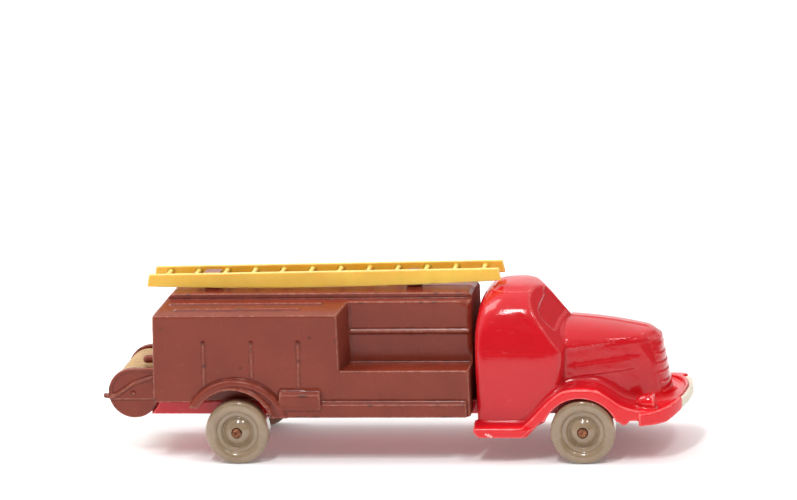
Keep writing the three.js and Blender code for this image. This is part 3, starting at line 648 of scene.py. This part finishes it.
def plate_field(g):
    plan = bumper_plan(g)
    lower = [(39.9, 6.48), (44.4, 6.8), (46.6, 7.9), (48.3, 8.4)]
    upper = [(39.9, 8.0), (42.5, 8.3), (44.6, 8.8), (46.2, 9.4), (48.3, 10.05)]
    strip = meet(np.abs(plan + 0.4) - 0.4, g.side - 7.0, 0.12)
    strip = meet(strip, outline(g.x, g.z, lower + upper[::-1]), 0.16)
    return np.maximum(strip, 40 - g.x)


def peg_rear_field(g):
    head = block(g, (-31.85, -29.15), (-2, 1.4), (26.82, 29.45), 0.25)
    return merge(head, np.maximum(np.hypot(g.x + 30.5, g.y) - 0.7, slab(g.z, 25.2, 27.2)), 0.1)


def peg_front_field(g):
    around = np.hypot(g.x - 2.95, g.y)
    head = meet(around - 1.4, slab(g.z, 26.82, 29.45), 0.45)
    return merge(head, np.maximum(around - 0.7, slab(g.z, 25.2, 27.2)), 0.1)


def ladder_field(g):
    """Along its own length; the top edge is z = 0."""
    x, z, side = g.x, g.z, g.side
    sag = 2.7 - 0.6 * (x / 29) ** 2
    ends = [(-28.75, 0), (29.05, 0), (29.6, -2.7), (29.6, -4), (-29.3, -4), (-29.3, -2.7)]
    rail = meet(outline(x, z, ends, 0.12), -z - sag, 0.16)
    rail = meet(rail, slab(side, 2.55, 3.3), 0.13)
    rail = meet(rail, np.broadcast_to(z, g.shape), 0.13)
    pitch = 4.77
    step = (x + 26.235) / pitch
    nearest = np.clip(np.round(step), 0, 11)
    rung = np.hypot((step - nearest) * pitch, (z + 0.9) * 1.1) - 0.37
    return merge(rail, np.maximum(rung, side - 2.7), 0.3)


def reel_side_field(sign):
    def field(g):
        x, z, y = g.x, g.z, sign * g.y
        around = np.hypot(x - REEL[0], z - REEL[2])
        outer = 8.25 - 0.16 * ramp(-z, -9.85, -9.65)
        web = outline(x, z, [(REEL[0], REEL[2]), (-39.3, 9.3), (-39.3, 15), (REEL[0], 15)])
        disc = merge(around - 4.2, web, 0.1)
        rim = np.where(z > 9.75, 0.2, 0.12)
        plate = meet(disc, np.maximum(7.35 - y, y - outer), rim)
        lip = meet(np.abs(disc + 0.3) - 0.26, slab(y, 7.6, 8.36), 0.2)
        plate = merge(plate, np.maximum(lip, 10.2 - z), 0.12)
        path = [(-48.1, 10.45), (-47.2, 10.3), (-46.1, 10.45), (-45.2, 11.05), (-43.0, 12.5),
                (-39.4, 13.7)]
        bead = np.float32(1e9)
        for (x0, z0), (x1, z1) in zip(path, path[1:]):
            dx, dz = x1 - x0, z1 - z0
            t = np.clip(((x - x0) * dx + (z - z0) * dz) / (dx**2 + dz**2), 0, 1)
            bead = np.minimum(bead, np.hypot(x - x0 - t * dx, z - z0 - t * dz))
        thick = np.where(x < -46.0, 0.36, 0.27)
        bead = np.sqrt(bead**2 + np.maximum(slab(y, 7.9, 8.25), 0) ** 2) - thick
        plate = merge(plate, np.maximum(bead, -48.1 - x), 0.14)
        plate = np.maximum(plate, meet(x + 39.4, np.where(z < 10.8, x + 39.1, -5)))
        hub = np.sqrt(around**2 + (y - 7.9) ** 2) - 0.5
        return merge(plate, hub, 0.1)
    return field


def drum_field(g):
    around = np.hypot(g.x - REEL[0], g.z - REEL[2])
    core = meet(around - 1.6, g.side - 7.05, 0.1)
    flange = meet(around - 3.3, slab(g.side, 6.65, 7.05), 0.12)
    return np.maximum(merge(core, flange, 0.2), 0.75 - around)


def spindle_field(g):
    return meet(np.hypot(g.x - REEL[0], g.z - REEL[2]) - 0.6, g.side - 7.6, 0.12)


def hose_mesh(name):
    """Turns of flat hose laid side by side, each one slightly uneven, wound on the drum."""
    half, turns, outer, bore = 6.35, 7, 4.0, 1.9
    rows, columns = 170, 180
    pitch = 2 * half / turns
    around = np.linspace(0, 2 * np.pi, columns, endpoint=False)
    across, angle = np.meshgrid(np.linspace(-half, half, rows), around, indexing="ij")
    lead = 0.12 * np.sin(angle + 0.6) + 0.06 * np.sin(3 * angle)
    place = (across + half + lead) / pitch
    turn = np.floor(place)
    share = place - turn
    swell = 0.02 * np.sin(2 * turn + angle) + 0.015 * np.sin(5 * angle + 3 * turn)
    groove = np.exp(-((np.minimum(share, 1 - share) * pitch / 0.13) ** 2))
    crown = 0.06 * (2 * share - 1) ** 2
    radius = outer - 0.05 - crown + swell - 0.22 * groove
    radius = radius - 0.5 * np.exp(-((half - np.abs(across)) / 0.12))
    ring = np.stack([radius * np.cos(angle), across, radius * np.sin(angle)], 2)
    low, high = (
        np.stack([bore * np.cos(around), np.full(columns, y), bore * np.sin(around)], 1)[None]
        for y in (-half, half)
    )
    rings = np.concatenate([low, ring, high])
    n = len(rings)
    i, j = np.meshgrid(np.arange(n), np.arange(columns), indexing="ij")
    index = lambda a, b: (a % n) * columns + b % columns
    faces = np.stack([index(i, j), index(i, j + 1), index(i + 1, j + 1), index(i + 1, j)], 2)
    return new_object(name, rings.reshape(-1, 3) + REEL, faces.reshape(-1, 4))


def wheel_mesh(name, node):
    """Tyre and hub in one moulding: rounded tread, sunk ring and domed hub on the outer face."""
    centre = mm_centre(node)
    outward = np.sign(centre[1])
    profile = smooth_profile([
        (0.85, 0.3), (2.2, 0.3), (2.6, 0.0), (4.6, 0.02), (5.05, 0.15), (5.25, 0.5), (5.25, 2.35),
        (5.2, 2.6), (5.02, 2.85), (4.7, 2.98), (4.3, 3.0), (3.95, 2.94), (3.62, 2.76), (3.42, 2.52),
        (3.3, 2.36), (2.95, 2.4), (2.68, 2.3), (2.5, 2.0), (2.36, 1.97), (2.2, 2.12), (2.0, 2.32),
        (1.7, 2.57), (1.3, 2.79), (0.85, 2.95),
    ], 5)
    profile[:, 1] = outward * (profile[:, 1] - 1.5)
    return lathe(name, profile, centre, 144, 0.012)


# ---- Finishes ------------------------------------------------------------------------------------


class Finish:
    """A node material under construction. Its methods return output sockets; lengths are in mm."""

    def __init__(self, name, **constants):
        self.material = bpy.data.materials.new(name)
        self.material.use_nodes = True
        self.tree = self.material.node_tree
        self.shader = self.tree.nodes["Principled BSDF"]
        for socket, value in constants.items():
            self.shader.inputs[socket.replace("_", " ")].default_value = value
        position = self.node("ShaderNodeTexCoord").outputs["Object"]
        self.mm = self.vector("SCALE", position, scale=1000.0)

    def node(self, kind, **settings):
        node = self.tree.nodes.new(kind)
        for key, value in settings.items():
            setattr(node, key, value)
        return node

    def put(self, socket, value):
        if isinstance(value, bpy.types.NodeSocket):
            self.tree.links.new(value, socket)
        else:
            socket.default_value = value

    def vector(self, operation, a, b=None, scale=None):
        node = self.node("ShaderNodeVectorMath", operation=operation)
        self.put(node.inputs[0], a)
        if b is not None:
            self.put(node.inputs[1], b)
        if scale is not None:
            node.inputs["Scale"].default_value = scale
        return node.outputs["Value" if operation == "DISTANCE" else "Vector"]

    def math(self, operation, a, b=0.0, clamp=False):
        node = self.node("ShaderNodeMath", operation=operation, use_clamp=clamp)
        self.put(node.inputs[0], a)
        self.put(node.inputs[1], b)
        return node.outputs[0]

    def noise(self, scale, detail=3.0, roughness=0.55, stretch=(1, 1, 1), warp=0.0):
        place = self.vector("MULTIPLY", self.mm, stretch) if stretch != (1, 1, 1) else self.mm
        node = self.node("ShaderNodeTexNoise")
        self.put(node.inputs["Vector"], place)
        node.inputs["Scale"].default_value = scale
        node.inputs["Detail"].default_value = detail
        node.inputs["Roughness"].default_value = roughness
        node.inputs["Distortion"].default_value = warp
        return node.outputs["Fac"]

    def specks(self, scale, size):
        """Small round spots, about one in each cell of 1/scale mm."""
        node = self.node("ShaderNodeTexVoronoi")
        self.put(node.inputs["Vector"], self.mm)
        node.inputs["Scale"].default_value = scale
        return self.span(node.outputs["Distance"], size, size * 0.55)

    def span(self, value, low, high):
        node = self.node("ShaderNodeMapRange", interpolation_type="SMOOTHSTEP")
        self.put(node.inputs["Value"], value)
        node.inputs["From Min"].default_value = low
        node.inputs["From Max"].default_value = high
        return node.outputs["Result"]

    def axis(self, name):
        node = self.node("ShaderNodeSeparateXYZ")
        self.put(node.inputs[0], self.mm)
        return node.outputs[name]

    def facing(self, name):
        """The surface normal's component on an axis of the piece."""
        node = self.node("ShaderNodeSeparateXYZ")
        self.put(node.inputs[0], self.node("ShaderNodeTexCoord").outputs["Normal"])
        return node.outputs[name]

    def convex(self, low, high):
        node = self.node("ShaderNodeAttribute", attribute_name="convex")
        return self.span(node.outputs["Fac"], low, high)

    def mix(self, factor, a, b):
        node = self.node("ShaderNodeMix", data_type="RGBA")
        colours = [s for s in node.inputs if s.type == "RGBA"]
        self.put(node.inputs["Factor"], factor)
        for socket, value in zip(colours, (a, b)):
            self.put(socket, value if isinstance(value, bpy.types.NodeSocket) else (*value, 1.0))
        return next(s for s in node.outputs if s.type == "RGBA")

    def blend(self, factor, a, b):
        """Between two plain numbers."""
        return self.math("ADD", self.math("MULTIPLY", factor, b - a), a)

    def bump(self, height, depth, under=None):
        node = self.node("ShaderNodeBump")
        self.put(node.inputs["Height"], height)
        node.inputs["Strength"].default_value = 1.0
        node.inputs["Distance"].default_value = depth * MM
        if under is not None:
            self.put(node.inputs["Normal"], under)
        return node.outputs["Normal"]

    def done(self, colour, roughness, normal=None):
        self.put(self.shader.inputs["Base Color"], colour)
        self.put(self.shader.inputs["Roughness"], roughness)
        if normal is not None:
            self.put(self.shader.inputs["Normal"], normal)
        return self.material


def moulded_plastic(name, base, deep, wear_and_highlight_colour, gloss, edge_wear_and_highlight_amount=0.8, chips=0.5, wave=0.03, dirt_and_corner_shade_amount=0.45,
                    thin=None, dots=(), dot=(0.06, 0.008, 0.006), dull_front=False, **constants):
    """Old moulded plastic: uneven tone, fine scratches, dulled and chipped edges lightened by wear and a
    painted highlight, dirt and painted shade in the corners.

    `thin` is a painted light: the lighter tone of the thin parts that stand out from the sides and the
    front, where light shines through them.
    `dots` are marks of colour `dot`, each given as (x, z, radius).
    """
    m = Finish(name, **constants)

    # uneven tone
    cloud = m.span(m.noise(0.16, 3), 0.3, 0.7)
    colour = m.mix(cloud, base, deep)
    mottle = m.span(m.noise(2.4, 4, 0.7), 0.35, 0.65)
    colour = m.mix(m.math("MULTIPLY", mottle, 0.35), colour, deep)
    streak = m.span(m.noise(1.1, 4, 0.6, (0.4, 1, 1.4)), 0.60, 0.78)
    colour = m.mix(m.math("MULTIPLY", streak, 0.07), colour, wear_and_highlight_colour)

    # dirt and painted shade in the corners, painted light on the thin parts, edges lightened by wear and
    # a painted highlight
    # dirt and painted shade: the concave corners are darkened in patches
    dirt_and_corner_shade = m.math("MULTIPLY", m.convex(-0.35, -1.3), m.span(m.noise(0.7, 3), 0.25, 0.6))
    colour = m.mix(m.math("MULTIPLY", dirt_and_corner_shade, dirt_and_corner_shade_amount), colour, tuple(0.25 * c for c in deep))
    if thin is not None:
        # painted light: the thin parts at the sides and the low front are given a lighter tone
        side = m.span(m.math("ABSOLUTE", m.axis("Y")), 11.8, 12.5)
        low = m.span(m.axis("Z"), 10.6, 9.8)
        front = m.math("MULTIPLY", m.span(m.axis("X"), 39.0, 41.5), low)
        colour = m.mix(m.math("MAXIMUM", side, front), colour, thin)
    # edges lightened by wear and by a painted highlight along the sharp convex edges
    patches = m.blend(m.span(m.noise(0.9, 5, 0.7), 0.45, 0.65), 0.45, 1.0)
    edge_wear_and_highlight_mask = m.math("MULTIPLY", m.math("MULTIPLY", m.convex(1.3, 2.7), patches), edge_wear_and_highlight_amount)
    colour = m.mix(edge_wear_and_highlight_mask, colour, wear_and_highlight_colour)

    # marks and chips
    for x, z, radius in dots:
        spot = m.vector("DISTANCE", m.vector("MULTIPLY", m.mm, (1, 0, 1)), (x, 0, z))
        spot = m.math("MULTIPLY", m.span(spot, radius, radius * 0.4), 0.7)
        colour = m.mix(spot, colour, dot)
    scar = m.math("MULTIPLY", m.span(m.noise(0.8, 2), 0.60, 0.66), m.specks(0.55, 0.22))
    near_edge = m.math("MULTIPLY", m.convex(0.15, 0.9), m.span(m.noise(0.33, 3, 0.6), 0.60, 0.66))
    chip = m.math("MULTIPLY", m.math("MAXIMUM", scar, near_edge), chips, True)
    colour = m.mix(chip, colour, tuple(0.22 * c + 0.008 for c in deep))

    # gloss, with scratches along and up the piece
    along = m.span(m.noise(2.6, 2, 0.5, (0.12, 1, 1), 0.4), 0.70, 0.76)
    upward = m.span(m.noise(2.2, 2, 0.5, (1, 1, 0.1), 0.6), 0.68, 0.74)
    scratches = m.math("MAXIMUM", along, upward)
    rough = m.blend(m.noise(0.9, 4), gloss - 0.05, gloss + 0.09)
    rough = m.math("ADD", rough, m.math("MULTIPLY", m.math("MAXIMUM", edge_wear_and_highlight_mask, chip), 0.25))
    rough = m.math("ADD", rough, m.math("MULTIPLY", scratches, 0.08), True)
    if dull_front:
        front = m.span(m.facing("X"), 0.8, 0.95)
        rough = m.math("ADD", rough, m.math("MULTIPLY", front, 0.6), True)

    # slight waves of the moulding under the fine relief
    normal = m.bump(m.noise(0.5, 2, 0.5), wave)
    grain = m.math("MULTIPLY", m.noise(7, 3), 0.25)
    height = m.math("SUBTRACT", grain, m.math("MULTIPLY", scratches, 0.3))
    normal = m.bump(m.math("SUBTRACT", height, chip), 0.012, normal)
    return m.done(colour, rough, normal)


def steel_finish():
    m = Finish("rusty_pin", Metallic=0.55)
    rust = m.span(m.noise(2.2, 5, 0.65), 0.38, 0.62)
    colour = m.mix(rust, (0.34, 0.13, 0.055), (0.13, 0.045, 0.022))
    bright = m.span(m.noise(4.5, 3), 0.62, 0.7)
    colour = m.mix(m.math("MULTIPLY", bright, 0.5), colour, (0.5, 0.3, 0.18))
    return m.done(colour, m.blend(rust, 0.35, 0.75), m.bump(m.noise(5, 4), 0.05))


def hose_finish():
    m = Finish("wound_hose")
    weave = m.noise(5.5, 3, 0.6, (1, 0.35, 1))
    colour = m.mix(m.span(weave, 0.35, 0.65), (0.49, 0.31, 0.12), (0.40, 0.23, 0.08))
    soil = m.span(m.noise(0.7, 4, 0.6), 0.48, 0.7)
    colour = m.mix(m.math("MULTIPLY", soil, 0.55), colour, (0.33, 0.16, 0.06))
    # painted shade and dirt: the creases between the turns are darkened
    pointed = m.node("ShaderNodeNewGeometry").outputs["Pointiness"]
    crease = m.span(pointed, 0.49, 0.43)
    colour = m.mix(m.math("MULTIPLY", crease, 0.8), colour, (0.16, 0.07, 0.035))
    return m.done(colour, m.blend(weave, 0.4, 0.6), m.bump(weave, 0.03))


def wheel_finish():
    m = Finish("wheel_grey", Subsurface_Weight=0.25, Subsurface_Scale=0.0012, Coat_Weight=0.7,
               Coat_Roughness=0.05)
    m.shader.inputs["Subsurface Radius"].default_value = (1.0, 0.8, 0.6)
    cloud = m.span(m.noise(0.4, 3, 0.5), 0.34, 0.66)
    colour = m.mix(cloud, (0.315, 0.22, 0.135), (0.27, 0.185, 0.11))
    swirl = m.span(m.noise(1.6, 4, 0.6, (1, 1, 1), 1.5), 0.52, 0.7)
    colour = m.mix(m.math("MULTIPLY", swirl, 0.15), colour, (0.2, 0.145, 0.10))
    # painted shade: the sunk ring and the other hollows of the wheel are darkened
    groove = m.node("ShaderNodeNewGeometry").outputs["Pointiness"]
    colour = m.mix(m.math("MULTIPLY", m.span(groove, 0.49, 0.42), 0.5), colour, (0.13, 0.08, 0.05))
    return m.done(colour, m.blend(m.noise(1.4, 3), 0.12, 0.24), m.bump(m.noise(0.7, 2), 0.02))


FINISHES = {
    "red": moulded_plastic(
        "cab_red", (0.56, 0.008, 0.015), (0.52, 0.007, 0.013), (0.92, 0.36, 0.34), gloss=0.11,
        edge_wear_and_highlight_amount=0.38, chips=0.0, wave=0.05, dirt_and_corner_shade_amount=0.1, thin=(0.70, 0.008, 0.014),
        dots=((15.9, 4.95, 0.35), (16.3, 4.75, 0.3), (15.5, 5.1, 0.25)), dot=(0.9, 0.6, 0.55),
        Specular_IOR_Level=0.42,
    ),
    "brown": moulded_plastic(
        "body_brown", (0.225, 0.036, 0.018), (0.19, 0.029, 0.015), (0.50, 0.25, 0.17), gloss=0.2,
        edge_wear_and_highlight_amount=0.32, chips=0.6, dull_front=True, Specular_IOR_Level=0.28,
        dots=((-30.35, 20.2, 0.5), (-22.4, 20.2, 0.45), (-14.7, 20.2, 0.55), (-30.3, 16.4, 0.5),
              (-14.7, 17.2, 0.4)),
    ),
    "tan": moulded_plastic(
        "peg_brown", (0.30, 0.10, 0.06), (0.22, 0.07, 0.05), (0.55, 0.33, 0.25), gloss=0.35
    ),
    "yellow": moulded_plastic(
        "ladder_yellow", (0.86, 0.58, 0.062), (0.78, 0.49, 0.045), (0.86, 0.72, 0.36), gloss=0.32,
        edge_wear_and_highlight_amount=0.6, chips=0.12, wave=0.02, Subsurface_Weight=0.5, Subsurface_Scale=0.0015,
    ),
    "cream": moulded_plastic(
        "plate_cream", (0.74, 0.66, 0.52), (0.66, 0.57, 0.42), (0.86, 0.82, 0.72), gloss=0.4,
        edge_wear_and_highlight_amount=0.5, chips=0.25,
    ),
    "grey": wheel_finish(),
    "rust": steel_finish(),
    "hose": hose_finish(),
}

# ---- Build the pieces ----------------------------------------------------------------------------


def grid_of(node, step, margin=0.6):
    low, high = mm_box(node)
    return Grid(low - margin, high + margin, step)


FINISH_OF_SLOT = {
    "cab_red": "red", "body_brown": "brown", "ladder_yellow": "yellow", "wheel_grey": "grey",
    "steel": "rust", "hose_cream": "hose", "plate_cream": "cream",
}


def add(piece, node, body, slot, finish=None):
    piece.data.materials.clear()
    piece.data.materials.append(FINISHES[finish or FINISH_OF_SLOT[slot]])
    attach(piece, body)
    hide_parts(node)


def add_field(name, node, body, slot, field, step, finish=None):
    g = grid_of(node, step)
    add(moulded(name, g, field(g)), node, body, slot, finish)


add_field("body_moulding", "body_shell", "vehicle", "body_brown", body_field, FINE)
add_field("cab_moulding", "cab_shell", "vehicle", "cab_red", cab_field, FINE)
add_field("chassis_tray", "chassis_frame", "vehicle", "cab_red", chassis_field, 0.22)
add_field("bumper_strip", "bumper_plate", "vehicle", "plate_cream", plate_field, 0.11)
for end, field in (("rear", peg_rear_field), ("front", peg_front_field)):
    add_field(f"peg_{end}", f"ladder_peg_{end}", "vehicle", "body_brown", field, 0.1, "tan")
for end, centre in (("front", FRONT_AXLE[0]), ("rear", REAR_AXLE[0])):
    wheelset = f"{end}_wheelset"
    keeper = f"{end}_axle_keeper"
    add_field(f"axle_{end}", f"{end}_axle", wheelset, "steel", axle_field(centre), 0.1)
    add_field(f"keeper_{end}", keeper, "vehicle", "cab_red", keeper_field(centre), 0.15)
    for hand in ("left", "right"):
        node = f"wheel_{end}_{hand}"
        add(wheel_mesh(f"tyre_{end}_{hand}", node), node, wheelset, "wheel_grey")
for node in ("body_rivet_rear", "body_rivet_front", "cab_rivet_rear", "cab_rivet_front"):
    add_field(f"{node}_pin", node, "vehicle", "steel", rivet_field(mm_centre(node)[0]), 0.1)
for hand, sign in (("left", 1), ("right", -1)):
    cheek = reel_side_field(sign)
    add_field(f"reel_cheek_{hand}", f"reel_side_{hand}", "vehicle", "body_brown", cheek, 0.11)
add_field("reel_core", "reel_drum", "hose_reel", "body_brown", drum_field, 0.15)
add_field("reel_pin", "reel_spindle", "hose_reel", "steel", spindle_field, 0.12)
add(hose_mesh("hose_turns"), "hose_winding", "hose_reel", "hose_cream")

# The ladder is modelled level and then laid on the pegs, its front end slightly raised.
tilt = Matrix.Rotation(math.radians(-0.65), 4, "Y")
seat = Matrix.Translation((-11.85, 0, 29.95)) @ tilt
g = Grid((-30.2, -3.9, -3.5), (30.2, 3.9, 0.6), 0.13)
ladder = moulded("ladder_moulding", g, ladder_field(g), seat)
add(ladder, "ladder", "roof_ladder", "ladder_yellow")

# ---- Floor, light and camera ---------------------------------------------------------------------

corners = [(-3000, -3000, 0), (3000, -3000, 0), (3000, 3000, 0), (-3000, 3000, 0)]
floor = new_object("floor", corners, [(0, 1, 2, 3)])
paper = bpy.data.materials.new("paper")
paper.use_nodes = True
shader = paper.node_tree.nodes["Principled BSDF"]
shader.inputs["Base Color"].default_value = (0.9, 0.9, 0.9, 1)
shader.inputs["Roughness"].default_value = 0.9
shader.inputs["Emission Color"].default_value = (1, 1, 1, 1)
shader.inputs["Emission Strength"].default_value = 0.12
floor.data.materials.append(paper)

scene = bpy.context.scene
scene.view_settings.view_transform = "Standard"
world = bpy.data.worlds.new("studio")
scene.world = world
world.use_nodes = True
tree = world.node_tree
tree.nodes["Background"].inputs["Color"].default_value = (1, 1, 1, 1)
direction = tree.nodes.new("ShaderNodeSeparateXYZ")
tree.links.new(tree.nodes.new("ShaderNodeTexCoord").outputs["Generated"], direction.inputs[0])


def world_span(value, low, high, bottom, top):
    node = tree.nodes.new("ShaderNodeMapRange")
    node.interpolation_type = "SMOOTHSTEP"
    tree.links.new(value, node.inputs["Value"])
    for name, number in (("From Min", low), ("From Max", high), ("To Min", bottom), ("To Max", top)):
        node.inputs[name].default_value = number
    return node.outputs["Result"]


def world_math(operation, a, b):
    node = tree.nodes.new("ShaderNodeMath")
    node.operation = operation
    tree.links.new(a, node.inputs[0])
    tree.links.new(b, node.inputs[1])
    return node.outputs[0]


DIM, BRIGHT = 0.12, 1.1  # strength of the room's light

# The room is darker in front of the object and beside its front than behind it.
walls = world_math(
    "MINIMUM",
    world_span(direction.outputs["Y"], -0.75, -0.25, DIM, BRIGHT),
    world_span(direction.outputs["X"], 0.15, 0.5, BRIGHT, 0.3),
)
ceiling = world_math(
    "MULTIPLY",
    world_span(direction.outputs["Z"], 0.35, 0.75, DIM, BRIGHT),
    world_span(direction.outputs["Y"], -0.3, 0.2, 0.5, 1.0),
)
room = world_math("MAXIMUM", walls, ceiling)
tree.links.new(room, tree.nodes["Background"].inputs["Strength"])


def lamp(name, place, target, size, watts):
    data = bpy.data.lights.new(name, "AREA")
    data.shape = "RECTANGLE"
    data.size, data.size_y = size
    data.energy = watts
    light = bpy.data.objects.new(name, data)
    scene.collection.objects.link(light)
    light.location = place
    light.rotation_euler = (Vector(target) - Vector(place)).to_track_quat("-Z", "Y").to_euler()


lamp("key", (-0.06, -0.42, 0.67), (0, 0, 0), (0.08, 0.24), 2.4)
lamp("softbox", (-0.46, 0.09, 0.76), (0, 0, 0.02), (0.46, 0.46), 4.0)
lamp("spot_high", (0.36, -0.36, 0.78), (0, 0, 0.02), (0.11, 0.11), 1.3)

AZIMUTH, PITCH, ROLL = (math.radians(v) for v in (8.92, 12.78, -2.44))
AIM = Vector((0.53, 0, 32.67)) * MM
DISTANCE = 600 * MM
back = Vector((
    math.sin(AZIMUTH) * math.cos(PITCH), -math.cos(AZIMUTH) * math.cos(PITCH), math.sin(PITCH)
))
right = (-back).cross(Vector((0, 0, 1))).normalized()
up = right.cross(-back)
rolled_right = right * math.cos(ROLL) + up * math.sin(ROLL)
rolled_up = up * math.cos(ROLL) - right * math.sin(ROLL)
camera_data = bpy.data.cameras.new("camera")
camera_data.sensor_width = 36
camera_data.lens = 3680 / 797 * camera_data.sensor_width
camera_data.clip_start = 0.01
camera_data.clip_end = 20
camera = bpy.data.objects.new("camera", camera_data)
scene.collection.objects.link(camera)
camera.matrix_world = Matrix.Translation(AIM + back * DISTANCE) @ Matrix(
    (rolled_right, rolled_up, back)
).transposed().to_4x4()
scene.camera = camera
